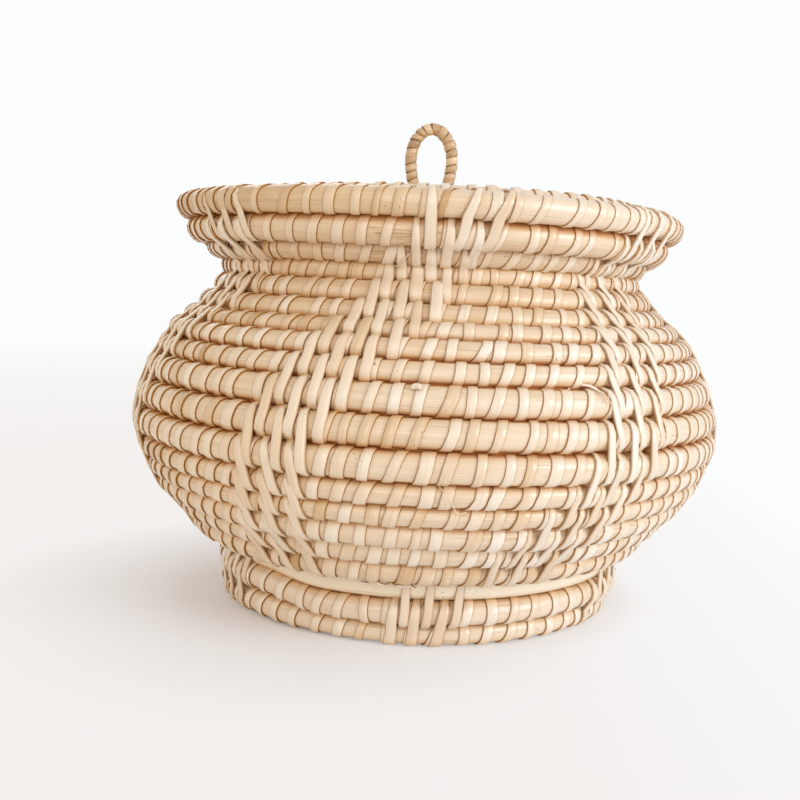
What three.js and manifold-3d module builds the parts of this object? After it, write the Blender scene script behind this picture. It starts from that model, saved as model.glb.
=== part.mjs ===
// Lidded rattan basket, coiled from rods along one falling helix and laced with cane strips.
// Millimetres, +Z up. The origin is on the floor under the middle of the foot, and -Y is the front.

import * as THREE from 'three';
import { mergeVertices } from 'three/addons/utils/BufferGeometryUtils.js';
import Module from 'manifold-3d';

// Clearances
const fitGap = 0.3;
const rowGap = 0.5;
const lacingGap = 0.35;

// Wall profile through the rod centres: radius of each landmark and its rise above the one below
const baseEdgeRadius = 77.2;
const heelRadius = 85.1;
const heelRise = 7.4;
const lowerBellyRadius = 96.2;
const lowerBellyRise = 12.8;
const bellyRadius = 100.2;
const bellyRise = 14.8;
const upperBellyRadius = 96.5;
const upperBellyRise = 17.0;
const shoulderRadius = 90.3;
const shoulderRise = 13.9;
const neckRadius = 80.1;
const neckRise = 8.6;
const throatRadius = 71.5;
const throatRise = 12.7;
const ledgeRadius = 74.4;
const ledgeRise = 6.8;
const flareRadius = 81.0;
const flareRise = 4.8;
const lipRadius = 88.4;
const lipRise = 13.0;
const baseEdgeDrop = 2.5;
const floorEdgeInset = 7.6;

// Rods of the coil, from the rim down: diameter and turns round the basket
const rimRodDiameter = 9.5;
const throatRodDiameter = 7.8;
const throatRodTurns = 5;
const shoulderRodDiameter = 6.8;
const shoulderRodTurns = 3;
const bellyRodDiameter = 9.15;
const bellyRodTurns = 3;
const tuckRodDiameter = 6.95;
const tuckRodTurns = 2;
const lowerRodDiameter = 9.15;
const lowerRodTurns = 3;
const baseRodDiameter = 9.0;

// The coil starts behind the rim with a tapered tip, and each splice lies at the back
const rimTipTurn = 0.36;
const rimTipTaper = 0.05;
const rimTipShare = 0.45;
const firstSpliceTurn = 1.5;

// Foot: one bare hoop over two hoops
const footInset = 7.5;
const bareHoopDiameter = 9.6;
const upperHoopDiameter = 7.6;
const lowerHoopDiameter = 7.5;
const lowerHoopInset = 2.2;

// Cane strips
const stripWidth = 3.0;
const stripThickness = 0.6;
const stripPitch = 7.0;
const stripsPerLacing = 3;
const footLacings = 6;
const lidLacings = 6;
const floorGap = 0.15;

// Lid: a flat coil in an edge ring, over a ring that seats in the flared mouth
const lidRodDiameter = 7.6;
const seatRingDiameter = 7.6;
const seatInset = 4.4;
const seatTurn = 3;
const lidMouthClearance = 3.0;
const lidStepBack = 0.25;
const lidTipShare = 0.3;

// Handle: a wrapped loop through the middle of the lid, clinched below
const handleCoreDiameter = 3.0;
const handleWrapThickness = 0.45;
const handleWrapWidth = 2.7;
const handleWrapCurls = 16;
const handleHalfWidth = 7.45;
const handleWidestRise = 15.4;
const handleArchRise = 11.5;
const handleLegSpread = 4.3;
const handleClinch = 8.0;
const handleBend = 3.0;

// Azimuth of each wall lacing at the rim, throat, belly and base edge, in degrees to the right of the front
const wallLacings = [
  { rim: 6, throat: -2, belly: -25, base: -30 },
  { rim: 53, throat: 46, belly: 39, base: 18 },
  { rim: 105, throat: 86, belly: 78, base: 74 },
  { rim: 157, throat: 141, belly: 131, base: 126 },
  { rim: 209, throat: 197, belly: 184, base: 178 },
  { rim: 262, throat: 252, belly: 236, base: 230 },
  { rim: 314, throat: 308, belly: 289, base: 282 },
];

// Wall lacings turn back on the last row whose outside still leans out by this share
const lacingEndLean = 0.3;

// Where the wall turns by more than this between two rows, a lacing is laid round both of them
const lacingBend = 30;

// Facets
const stepsPerTurn = 24;
const innerStepsPerTurn = 12;
const innerRadius = 44;
const sides = 6;
const flatShare = Math.cos(Math.PI / sides);

const TURN = Math.PI * 2;
const degrees = Math.PI / 180;
const wasm = await Module();
wasm.setup();

const cane = new THREE.MeshStandardMaterial({ color: 0xe9cfae, roughness: 0.6, metalness: 0 });
const bareCane = new THREE.MeshStandardMaterial({ color: 0xf2dfc2, roughness: 0.5, metalness: 0 });
const strip = new THREE.MeshStandardMaterial({ color: 0xf0dcc0, roughness: 0.55, metalness: 0 });
const darkStrip = new THREE.MeshStandardMaterial({ color: 0xb08a5e, roughness: 0.6, metalness: 0 });

const basket = new THREE.Group();

function addPiece(name, geometry, material) {
  const mesh = new THREE.Mesh(geometry, material);
  mesh.name = name;
  basket.add(mesh);
}

// Place a radius and a height at an azimuth, which is 0 at the front and grows to the right
function polar(radius, azimuth, height) {
  return new THREE.Vector3(radius * Math.sin(azimuth), -radius * Math.cos(azimuth), height);
}

// Join rings of points, all of one count, into a closed solid with flat ends
function loft(rings) {
  const count = rings[0].length;
  const positions = rings.flat().flatMap((point) => [point.x, point.y, point.z]);
  const index = [];
  for (let ring = 0; ring + 1 < rings.length; ring += 1) {
    for (let side = 0; side < count; side += 1) {
      const next = (side + 1) % count;
      const a = ring * count + side;
      const b = ring * count + next;
      index.push(a, b, a + count, b, b + count, a + count);
    }
  }
  const last = (rings.length - 1) * count;
  for (let side = 1; side + 1 < count; side += 1) {
    index.push(0, side + 1, side);
    index.push(last, last + side, last + side + 1);
  }
  const geometry = new THREE.BufferGeometry();
  geometry.setAttribute('position', new THREE.Float32BufferAttribute(positions, 3));
  geometry.setIndex(volumeOf(positions, index) < 0 ? index.reverse() : index);
  geometry.computeVertexNormals();
  return geometry;
}

function volumeOf(positions, index) {
  let volume = 0;
  const corner = (vertex) => new THREE.Vector3().fromArray(positions, vertex * 3);
  for (let face = 0; face < index.length; face += 3) {
    const cross = corner(index[face + 1]).cross(corner(index[face + 2]));
    volume += corner(index[face]).dot(cross) / 6;
  }
  return volume;
}

function toManifold(geometry) {
  const bare = geometry.clone();
  bare.deleteAttribute('normal');
  bare.deleteAttribute('uv');
  const merged = mergeVertices(bare, 1e-5);
  const vertProperties = new Float32Array(merged.attributes.position.array);
  const triVerts = new Uint32Array(merged.index.array);
  return new wasm.Manifold(new wasm.Mesh({ numProp: 3, vertProperties, triVerts }));
}

function fromManifold(solid) {
  const mesh = solid.getMesh();
  const geometry = new THREE.BufferGeometry();
  geometry.setAttribute('position', new THREE.Float32BufferAttribute(mesh.vertProperties, 3));
  geometry.setIndex(Array.from(mesh.triVerts));
  geometry.computeVertexNormals();
  return geometry;
}

// Least distance between the points of a winding that lie more than half a turn apart along it
function leastSelfGap(rings, ringsPerTurn) {
  let least = Infinity;
  for (let a = 0; a < rings.length; a += 1) {
    for (let b = a + Math.ceil(ringsPerTurn / 2); b < rings.length; b += 1) {
      for (const from of rings[a]) {
        for (const to of rings[b]) {
          least = Math.min(least, from.distanceTo(to));
        }
      }
    }
  }
  return least;
}

function printGap(name, rings, ringsPerTurn) {
  console.log(`${name}: least gap to itself ${leastSelfGap(rings, ringsPerTurn).toFixed(2)} mm`);
}

// Vertex radius of a section whose flats leave half a gap to the next rod
function packedRadius(diameter) {
  return (diameter - rowGap) / 2 / flatShare;
}

// Foot: radii and heights of its three hoops, stacked on the floor
const lowerHoop = {
  radius: baseEdgeRadius - footInset - lowerHoopInset,
  height: (lowerHoopDiameter - rowGap) / 2,
  section: packedRadius(lowerHoopDiameter),
};
const upperHoop = {
  radius: baseEdgeRadius - footInset,
  height: lowerHoop.height + (lowerHoopDiameter + upperHoopDiameter) / 2,
  section: packedRadius(upperHoopDiameter),
};
const bareHoop = {
  radius: baseEdgeRadius - footInset,
  height: upperHoop.height + (upperHoopDiameter + bareHoopDiameter) / 2,
  section: packedRadius(bareHoopDiameter),
};

// The base coil lies on the lacings that pass over the bare hoop
const lacingOffset = lacingGap + stripThickness / 2;
const lacingHeight = (bareHoop.section + 2 * lacingOffset) * flatShare;
const baseHeight = bareHoop.height + lacingHeight + fitGap + packedRadius(baseRodDiameter);

// Profile curve from the lip down the wall and in along the base to the middle
const rises = [
  [lipRadius, lipRise],
  [flareRadius, flareRise],
  [ledgeRadius, ledgeRise],
  [throatRadius, throatRise],
  [neckRadius, neckRise],
  [shoulderRadius, shoulderRise],
  [upperBellyRadius, upperBellyRise],
  [bellyRadius, bellyRise],
  [lowerBellyRadius, lowerBellyRise],
  [heelRadius, heelRise],
  [baseEdgeRadius, 0],
];
const baseEdgeHeight = baseHeight - baseEdgeDrop;
const landmarks = rises.map(([radius], row) => {
  const rise = rises.slice(row).reduce((sum, [, step]) => sum + step, 0);
  return new THREE.Vector3(radius, baseEdgeHeight + rise, 0);
});
const floorEdge = new THREE.Vector3(baseEdgeRadius - floorEdgeInset, baseHeight, 0);
const floorMiddle = new THREE.Vector3(0, baseHeight, 0);
const profile = new THREE.CatmullRomCurve3([...landmarks, floorEdge, floorMiddle]);
profile.curveType = 'centripetal';
profile.arcLengthDivisions = 800;
const profileLength = profile.getLength();

// Rods along the coil: each one falls by its own diameter in a turn
const rods = [
  { name: 'rim_rod', diameter: rimRodDiameter, turns: firstSpliceTurn - rimTipTurn },
  { name: 'throat_rod', diameter: throatRodDiameter, turns: throatRodTurns },
  { name: 'shoulder_rod', diameter: shoulderRodDiameter, turns: shoulderRodTurns },
  { name: 'belly_rod', diameter: bellyRodDiameter, turns: bellyRodTurns },
  { name: 'tuck_rod', diameter: tuckRodDiameter, turns: tuckRodTurns },
  { name: 'lower_rod', diameter: lowerRodDiameter, turns: lowerRodTurns },
  { name: 'base_rod', diameter: baseRodDiameter, turns: Infinity },
];
let spliceTurn = rimTipTurn;
for (const rod of rods) {
  rod.start = spliceTurn;
  spliceTurn += rod.turns;
  rod.end = spliceTurn;
}

// Rods taper into each other over one turn around a splice
function diameterAt(turn) {
  for (let row = 0; row + 1 < rods.length; row += 1) {
    const share = turn - rods[row].end + 0.5;
    if (share <= 0) {
      return rods[row].diameter;
    }
    if (share < 1) {
      return THREE.MathUtils.lerp(rods[row].diameter, rods[row + 1].diameter, share);
    }
  }
  return baseRodDiameter;
}

// Length along the profile at each turn, up to the open middle of the base
const tableStep = 1 / 48;
const middleHole = 0.8 * baseRodDiameter;
const fallen = [0];
while (fallen[fallen.length - 1] < profileLength - middleHole) {
  const turn = rimTipTurn + (fallen.length - 0.5) * tableStep;
  fallen.push(fallen[fallen.length - 1] + diameterAt(turn) * tableStep);
}
const coilEnd = rimTipTurn + (fallen.length - 2) * tableStep;
rods[rods.length - 1].end = coilEnd;

// Point of the coil's centre line: radius, height, and the directions along and out of the profile
function coilAt(turn) {
  const place = THREE.MathUtils.clamp((turn - rimTipTurn) / tableStep, 0, fallen.length - 1.001);
  const row = Math.floor(place);
  const length = THREE.MathUtils.lerp(fallen[row], fallen[row + 1], place - row);
  const share = Math.min(length / profileLength, 1);
  const point = profile.getPointAt(share);
  const along = profile.getTangentAt(share);
  return { radius: point.x, height: point.y, along, out: new THREE.Vector3(-along.y, along.x, 0) };
}

// Vertex radius of the rod's section, so that it clears the rows above and below also where the wall bends
function sectionAt(turn) {
  const here = coilAt(turn);
  let section = Infinity;
  for (const neighbour of [turn - 1, turn + 1]) {
    if (neighbour >= rimTipTurn && neighbour <= coilEnd) {
      const there = coilAt(neighbour);
      const chord = new THREE.Vector3(there.radius - here.radius, there.height - here.height, 0);
      const straight = Math.abs(chord.clone().normalize().dot(here.along));
      const bend = Math.min(Math.acos(Math.min(1, straight)), Math.PI / 6);
      const share = diameterAt(turn) / (diameterAt(turn) + diameterAt(neighbour));
      const reach = chord.length() * share - rowGap / 2;
      section = Math.min(section, reach / Math.cos(Math.PI / sides - bend));
    }
  }
  return section;
}

// Corner of the coil's section: angle 0 points out of the wall, and a quarter turn points down the wall
function sectionCorner(turn, angle, section, lift) {
  const here = coilAt(turn);
  const reach = section + lift;
  const radius = here.radius + reach * (Math.cos(angle) * here.out.x + Math.sin(angle) * here.along.x);
  const height = here.height + reach * (Math.cos(angle) * here.out.y + Math.sin(angle) * here.along.y);
  return { radius, height };
}

// Turns at which a rod is sampled: whole steps, with a clear butt end at each splice
function turnsOf(rod) {
  const clear = (turn) => fitGap / 2 / (TURN * coilAt(turn).radius);
  const first = rod.start + clear(rod.start);
  const turns = [first];
  const firstStep = Math.ceil(rod.start * stepsPerTurn + 0.2);
  for (let step = firstStep; step < rod.end * stepsPerTurn - 0.2; step += 1) {
    const coarse = coilAt(step / stepsPerTurn).radius < innerRadius;
    if (!coarse || step % (stepsPerTurn / innerStepsPerTurn) === 0) {
      turns.push(step / stepsPerTurn);
    }
  }
  turns.push(rod.end - clear(rod.end));
  return turns;
}

// The tip of the rim thins out and lies down on the row below
function coilRing(turn) {
  const tip = THREE.MathUtils.smoothstep(turn, rimTipTurn, rimTipTurn + rimTipTaper);
  const full = sectionAt(turn);
  const section = full * THREE.MathUtils.lerp(rimTipShare, 1, tip);
  const sink = (full - section) * flatShare;
  const here = coilAt(turn);
  const ring = [];
  for (let side = 0; side < sides; side += 1) {
    const corner = sectionCorner(turn, side * TURN / sides, section, 0);
    ring.push(polar(corner.radius + sink * here.along.x, turn * TURN, corner.height + sink * here.along.y));
  }
  return ring;
}

for (const rod of rods) {
  const rings = turnsOf(rod).map(coilRing);
  addPiece(rod.name, loft(rings), cane);
  if (rod.end - rod.start > 1.5) {
    printGap(rod.name, rings, innerStepsPerTurn);
  }
}

// The coils and hoops are drawn with straight facets, which lie inside their circle by this share
function facetShare(azimuth) {
  const step = TURN / stepsPerTurn;
  const fromStep = azimuth - Math.floor(azimuth / step) * step;
  return Math.cos(step / 2) / Math.cos(fromStep - step / 2);
}

// Ring bent from one rod, with a butt joint at the back, where azimuths start and end
function hoopRings(hoop, azimuths, floorAt) {
  const butt = fitGap / 2 / hoop.radius;
  return azimuths.map((turned) => {
    const azimuth = THREE.MathUtils.clamp(turned, -Math.PI + butt, Math.PI - butt);
    const ring = [];
    for (let side = 0; side < sides; side += 1) {
      const angle = side * TURN / sides;
      const height = Math.max(hoop.height + hoop.section * Math.sin(angle), floorAt(azimuth));
      const radius = hoop.radius + hoop.section * Math.cos(angle);
      ring.push(polar(radius * facetShare(azimuth), azimuth, height));
    }
    return ring;
  });
}
const evenAzimuths = [];
for (let step = 0; step <= stepsPerTurn; step += 1) {
  evenAzimuths.push((step / stepsPerTurn - 0.5) * TURN);
}
const noFloor = () => -Infinity;
addPiece('foot_bare_hoop', loft(hoopRings(bareHoop, evenAzimuths, noFloor)), bareCane);
addPiece('foot_upper_hoop', loft(hoopRings(upperHoop, evenAzimuths, noFloor)), cane);

// The lower hoop is pared away under each lacing, and stands on the flats between them
const footLacingStep = TURN / footLacings;
const pareHalfWidth = (stripsPerLacing * stripPitch / 2 + stripWidth) / lowerHoop.radius;
const pareSlope = stripWidth / 2 / lowerHoop.radius;
const pareHeight = floorGap + stripThickness + lacingGap;
function lowerHoopFloor(azimuth) {
  const fromLacing = Math.abs(azimuth - Math.round(azimuth / footLacingStep) * footLacingStep);
  return fromLacing < pareHalfWidth + pareSlope / 2 ? pareHeight : 0;
}
const paredAzimuths = new Set(evenAzimuths);
for (let lacing = 0; lacing < footLacings; lacing += 1) {
  for (const side of [-1, 1]) {
    for (const edge of [pareHalfWidth, pareHalfWidth + pareSlope]) {
      const azimuth = lacing * footLacingStep + side * edge;
      paredAzimuths.add(azimuth > Math.PI ? azimuth - TURN : azimuth);
    }
  }
}
const lowerAzimuths = [...paredAzimuths].sort((a, b) => a - b);
addPiece('foot_lower_hoop', loft(hoopRings(lowerHoop, lowerAzimuths, lowerHoopFloor)), cane);

// Corner of a loop of strip round a hoop's section
function aroundHoop(hoop, angleDegrees) {
  const reach = hoop.section + lacingOffset;
  const angle = angleDegrees * degrees;
  return new THREE.Vector2(hoop.radius + reach * Math.cos(angle), hoop.height + reach * Math.sin(angle));
}

// Strip wound round a closed outline of corners, moving along the hoops by one pitch in each loop
function woundStrip(outline, azimuth, loops) {
  const count = outline.length;
  const rings = [];
  for (let corner = 0; corner <= loops * count; corner += 1) {
    const here = outline[corner % count];
    const before = here.clone().sub(outline[(corner + count - 1) % count]).normalize();
    const after = outline[(corner + 1) % count].clone().sub(here).normalize();
    const out = new THREE.Vector2(before.y + after.y, -before.x - after.x).normalize();
    const mitre = stripThickness / 2 / Math.max(0.5, out.dot(new THREE.Vector2(before.y, -before.x)));
    const turned = azimuth + (corner / count - loops / 2) * stripPitch / here.x;
    const halfWidth = stripWidth / 2 / here.x;
    const ring = [];
    for (const [across, off] of [[-1, -1], [1, -1], [1, 1], [-1, 1]]) {
      const place = here.clone().addScaledVector(out, off * mitre);
      const edge = turned + across * halfWidth;
      ring.push(polar(place.x * facetShare(edge), edge, place.y));
    }
    rings.push(ring);
  }
  return rings;
}

// Foot lacings bind the three hoops
const footOutline = [
  aroundHoop(bareHoop, 0),
  aroundHoop(bareHoop, 60),
  aroundHoop(bareHoop, 120),
  aroundHoop(bareHoop, 180),
  aroundHoop(upperHoop, 180),
  aroundHoop(lowerHoop, 180),
  aroundHoop(lowerHoop, 240),
  aroundHoop(lowerHoop, 300),
  aroundHoop(lowerHoop, 0),
  aroundHoop(upperHoop, 0),
];
for (const corner of footOutline) {
  corner.y = Math.max(corner.y, floorGap + stripThickness / 2);
}
for (let lacing = 0; lacing < footLacings; lacing += 1) {
  const rings = woundStrip(footOutline, lacing * footLacingStep, stripsPerLacing);
  addPiece(`foot_lacing_${lacing + 1}`, loft(rings), strip);
  if (lacing === 0) {
    printGap('foot_lacing_1', rings, footOutline.length);
  }
}

// Turn at which a row of the coil passes an azimuth that drifts down the wall
function turnOnRow(row, azimuthAt) {
  let turn = row;
  for (let pass = 0; pass < 12; pass += 1) {
    turn = row + azimuthAt(turn) / TURN;
  }
  return turn;
}

// Wall lacings run down, up and down again over the rods, in three strips side by side
const throatTurn = 4;
const bellyTurn = 11.5;
const baseTurn = rods[rods.length - 1].start;
const turnBack = 0.8 * stripWidth;
function lacingAzimuth(lacing, turn) {
  const marks = [
    [1, lacing.rim],
    [throatTurn, lacing.throat],
    [bellyTurn, lacing.belly],
    [baseTurn, lacing.base],
  ];
  let row = 0;
  while (row < marks.length - 2 && turn > marks[row + 1][0]) {
    row += 1;
  }
  const [fromTurn, from] = marks[row];
  const [toTurn, to] = marks[row + 1];
  return THREE.MathUtils.mapLinear(turn, fromTurn, toTurn, from, to) * degrees;
}

// Place on the wall: turn of the coil, angle round its section and sideways shift, lifted clear of the rod
function onWall(turn, angle, azimuth) {
  const corner = sectionCorner(turn, angle, sectionAt(turn), lacingOffset);
  const here = coilAt(turn);
  const outRadius = Math.cos(angle) * here.out.x + Math.sin(angle) * here.along.x;
  const outHeight = Math.cos(angle) * here.out.y + Math.sin(angle) * here.along.y;
  return {
    point: polar(corner.radius * facetShare(azimuth), azimuth, corner.height),
    out: polar(outRadius, azimuth, outHeight),
    sideways: polar(1, azimuth + Math.PI / 2, 0),
  };
}

// Angle by which the wall turns under between two rows
function bendBetween(turn, nextTurn) {
  const out = coilAt(turn).out;
  const nextOut = coilAt(nextTurn).out;
  return Math.atan2(out.y * nextOut.x - out.x * nextOut.y, out.dot(nextOut));
}

// Rows that a lacing crosses: from the rim's full thickness to the last row that leans out
function lacingRows(lacing) {
  const azimuthAt = (turn) => lacingAzimuth(lacing, turn);
  const rows = [];
  let row = Math.ceil(rimTipTurn + rimTipTaper - lacing.rim * degrees / TURN);
  while (coilAt(turnOnRow(row, azimuthAt)).out.x > lacingEndLean) {
    rows.push(row);
    row += 1;
  }
  return rows;
}

function wallStrip(lacing, side) {
  const azimuthAt = (turn) => lacingAzimuth(lacing, turn) + side * stripPitch / coilAt(turn).radius;
  const [firstTurn, ...nextTurns] = lacingRows(lacing).map((row) => turnOnRow(row, azimuthAt));
  const places = [-60 * degrees, 0].map((angle) => onWall(firstTurn, angle, azimuthAt(firstTurn)));
  let turn = firstTurn;
  for (const nextTurn of nextTurns) {
    const bend = bendBetween(turn, nextTurn);
    if (bend > lacingBend * degrees) {
      places.push(onWall(turn, bend / 2, azimuthAt(turn)));
      places.push(onWall(nextTurn, -bend / 2, azimuthAt(nextTurn)));
    }
    places.push(onWall(nextTurn, 0, azimuthAt(nextTurn)));
    turn = nextTurn;
  }
  return places;
}

// Two places that carry a strip across to its neighbour, further along and clear of the rod
function turnOver(from, to, beyond) {
  const places = [];
  const heading = from.point.clone().sub(beyond.point).projectOnPlane(from.out).normalize();
  for (const share of [0.3, 0.7]) {
    const out = from.out.clone().lerp(to.out, share).normalize();
    const point = from.point.clone().lerp(to.point, share).addScaledVector(heading, turnBack);
    places.push({ point: point.addScaledVector(out, lacingGap), out });
  }
  return places;
}

function wallLacingRings(lacing) {
  const left = wallStrip(lacing, -1);
  const middle = wallStrip(lacing, 0);
  const right = wallStrip(lacing, 1);
  const low = turnOver(left[left.length - 1], middle[middle.length - 1], left[left.length - 2]);
  const high = turnOver(middle[0], right[0], middle[1]);
  const places = [...left, ...low, ...middle.reverse(), ...high, ...right];
  return places.map((place, step) => {
    const before = places[Math.max(step - 1, 0)].point;
    const after = places[Math.min(step + 1, places.length - 1)].point;
    const across = after.clone().sub(before).cross(place.out).normalize();
    if (place.sideways) {
      const heading = Math.sign(across.dot(place.sideways));
      across.copy(place.sideways).multiplyScalar(heading);
    }
    const ring = [];
    for (const [aside, off] of [[-1, -1], [1, -1], [1, 1], [-1, 1]]) {
      const corner = place.point.clone().addScaledVector(across, aside * stripWidth / 2);
      ring.push(corner.addScaledVector(place.out, off * stripThickness / 2));
    }
    return ring;
  });
}

wallLacings.forEach((lacing, row) => {
  addPiece(`wall_lacing_${row + 1}`, loft(wallLacingRings(lacing)), strip);
});

// Lid ring that seats in the mouth: lowest height at which it clears every row of the flare
const seatClearance = lacingGap + stripThickness + fitGap;
const seatRing = {
  radius: coilAt(seatTurn).radius - seatInset,
  height: 0,
  section: packedRadius(seatRingDiameter),
};
for (let turn = rimTipTurn; turn < seatTurn + 3; turn += tableStep) {
  const row = coilAt(turn);
  const reach = sectionAt(turn) + seatRing.section + seatClearance;
  const aside = row.radius - seatRing.radius;
  if (Math.abs(aside) < reach) {
    seatRing.height = Math.max(seatRing.height, row.height + Math.sqrt(reach * reach - aside * aside));
  }
}

// Edge ring of the lid, clear of the inside of the rim
let mouthRadius = Infinity;
for (let turn = rimTipTurn + rimTipTaper; turn < firstSpliceTurn; turn += tableStep) {
  mouthRadius = Math.min(mouthRadius, coilAt(turn).radius - sectionAt(turn));
}
const edgeRing = {
  radius: mouthRadius - lidMouthClearance - packedRadius(lidRodDiameter),
  height: 0,
  section: packedRadius(lidRodDiameter),
};
edgeRing.height = seatRing.height + (edgeRing.section + seatRing.section) * flatShare + fitGap;
addPiece('lid_seat_ring', loft(hoopRings(seatRing, evenAzimuths, noFloor)), cane);
addPiece('lid_edge_ring', loft(hoopRings(edgeRing, evenAzimuths, noFloor)), cane);

// Lid lacings bind the edge ring to the seat ring
const lidOutline = [
  aroundHoop(edgeRing, 0),
  aroundHoop(edgeRing, 60),
  aroundHoop(edgeRing, 120),
  aroundHoop(edgeRing, 180),
  aroundHoop(seatRing, 180),
  aroundHoop(seatRing, 240),
  aroundHoop(seatRing, 300),
  aroundHoop(seatRing, 0),
];
for (let lacing = 0; lacing < lidLacings; lacing += 1) {
  const rings = woundStrip(lidOutline, (lacing + 0.5) * TURN / lidLacings, stripsPerLacing);
  addPiece(`lid_lacing_${lacing + 1}`, loft(rings), strip);
  if (lacing === 0) {
    printGap('lid_lacing_1', rings, lidOutline.length);
  }
}

// Flat coil of the lid: each turn is round and steps in by one rod at the back
const lidCoilRadius = edgeRing.radius - 2 * edgeRing.section - 2 * lacingOffset - fitGap;
const lidCoilTurns = (lidCoilRadius - 0.75 * lidRodDiameter) / lidRodDiameter;
function lidCoilRing(turn) {
  const lap = Math.floor(turn + lidStepBack);
  const stepped = THREE.MathUtils.smoothstep(turn + lidStepBack - lap, 0, lidStepBack);
  const tip = turn < 0 ? Math.max(stepped, lidTipShare) : 1;
  const section = edgeRing.section * tip;
  const laps = turn < 0 ? 0 : lap - 1 + stepped;
  const radius = lidCoilRadius - lidRodDiameter * laps + (edgeRing.section - section) * flatShare;
  const azimuth = (turn + (1 + lidStepBack) / 2) * TURN;
  const ring = [];
  for (let side = 0; side < sides; side += 1) {
    const angle = (side + 0.5) * TURN / sides;
    const height = edgeRing.height + section * Math.sin(angle);
    ring.push(polar(radius + section * Math.cos(angle), azimuth, height));
  }
  return ring;
}
const lidCoilRings = [];
for (let step = -lidStepBack * stepsPerTurn; step / stepsPerTurn <= lidCoilTurns; step += 1) {
  const coarse = lidCoilRadius - lidRodDiameter * step / stepsPerTurn < innerRadius;
  if (!coarse || step % (stepsPerTurn / innerStepsPerTurn) === 0) {
    lidCoilRings.push(lidCoilRing(step / stepsPerTurn));
  }
}
printGap('lid_coil', lidCoilRings, innerStepsPerTurn);

// Handle loop: half of its centre line, from the clinched end under the lid up to the top
const lidUnder = edgeRing.height - edgeRing.section;
const clinchHeight = lidUnder - fitGap - handleCoreDiameter / 2;
const loopFoot = edgeRing.height + edgeRing.section + fitGap;
const widest = loopFoot + handleWidestRise;
function handleHalf() {
  const points = [new THREE.Vector3(handleLegSpread + handleBend + handleClinch, 0, clinchHeight)];
  for (let step = 0; step <= 3; step += 1) {
    const angle = step / 3 * Math.PI / 2;
    const x = handleLegSpread + handleBend * (1 - Math.sin(angle));
    points.push(new THREE.Vector3(x, 0, clinchHeight + handleBend * (1 - Math.cos(angle))));
  }
  for (let step = 0; step < 4; step += 1) {
    const share = step / 4;
    const x = THREE.MathUtils.lerp(handleLegSpread, handleHalfWidth, Math.sin(share * Math.PI / 2));
    points.push(new THREE.Vector3(x, 0, loopFoot + share * handleWidestRise));
  }
  for (let step = 0; step <= 6; step += 1) {
    const angle = step / 6 * Math.PI / 2;
    const height = widest + handleArchRise * Math.sin(angle);
    points.push(new THREE.Vector3(handleHalfWidth * Math.cos(angle), 0, height));
  }
  return points;
}
const rightHalf = handleHalf();
const leftHalf = rightHalf.slice(0, -1).reverse().map((point) => new THREE.Vector3(-point.x, 0, point.z));
const handlePath = [...rightHalf, ...leftHalf];

// Frame of the handle's path: the loop lies in one plane, so one side always faces the front
const front = new THREE.Vector3(0, -1, 0);
function ringRound(point, heading, radius, count) {
  const beside = heading.clone().cross(front).normalize();
  const ring = [];
  for (let side = 0; side < count; side += 1) {
    const angle = side * TURN / count;
    const corner = point.clone().addScaledVector(beside, radius * Math.cos(angle));
    ring.push(corner.addScaledVector(front, radius * Math.sin(angle)));
  }
  return ring;
}
const coreRings = handlePath.map((point, step) => {
  const before = handlePath[Math.max(step - 1, 0)];
  const after = handlePath[Math.min(step + 1, handlePath.length - 1)];
  return ringRound(point, after.clone().sub(before).normalize(), handleCoreDiameter / 2, sides);
});
addPiece('handle_core', loft(coreRings), darkStrip);

// The legs pass through the lid's coil
let lidSolid = toManifold(loft(lidCoilRings));
for (const side of [-1, 1]) {
  const hole = new THREE.CylinderGeometry(1, 1, 4 * edgeRing.section, 12);
  const holeRadius = handleCoreDiameter / 2 + fitGap;
  hole.rotateX(Math.PI / 2);
  hole.scale(holeRadius / Math.cos(Math.PI / 12), holeRadius / Math.cos(Math.PI / 12), 1);
  hole.translate(side * handleLegSpread, 0, edgeRing.height);
  lidSolid = lidSolid.subtract(toManifold(hole));
}
addPiece('lid_coil', fromManifold(lidSolid), cane);

// Wrap of the loop above the lid: one strip in even curls
const loopCurve = new THREE.CatmullRomCurve3(handlePath.filter((point) => point.z >= loopFoot));
loopCurve.curveType = 'centripetal';
const loopLength = loopCurve.getLength();
const curlSteps = 8;
const wrapInner = handleCoreDiameter / 2 + fitGap;
function wrapRing(step) {
  const run = loopLength - handleWrapWidth - 2 * fitGap;
  const middle = handleWrapWidth / 2 + fitGap + run * step / (handleWrapCurls * curlSteps);
  const angle = step * TURN / curlSteps;
  const ring = [];
  for (const [along, radius] of [[-1, 0], [1, 0], [1, 1], [-1, 1]]) {
    const share = (middle + along * handleWrapWidth / 2) / loopLength;
    const point = loopCurve.getPointAt(share);
    const beside = loopCurve.getTangentAt(share).cross(front).normalize();
    const reach = wrapInner + radius * handleWrapThickness;
    const corner = point.addScaledVector(beside, reach * Math.cos(angle));
    ring.push(corner.addScaledVector(front, reach * Math.sin(angle)));
  }
  return ring;
}
const wrapRings = [];
for (let step = 0; step <= handleWrapCurls * curlSteps; step += 1) {
  wrapRings.push(wrapRing(step));
}
printGap('handle_wrap', wrapRings, curlSteps);
addPiece('handle_wrap', loft(wrapRings), darkStrip);

export default basket;
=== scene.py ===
"""Lidded rattan basket: a coil of rods wrapped with split cane, laced in columns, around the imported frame."""

import math

import bpy
import numpy as np
from mathutils import Matrix


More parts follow.
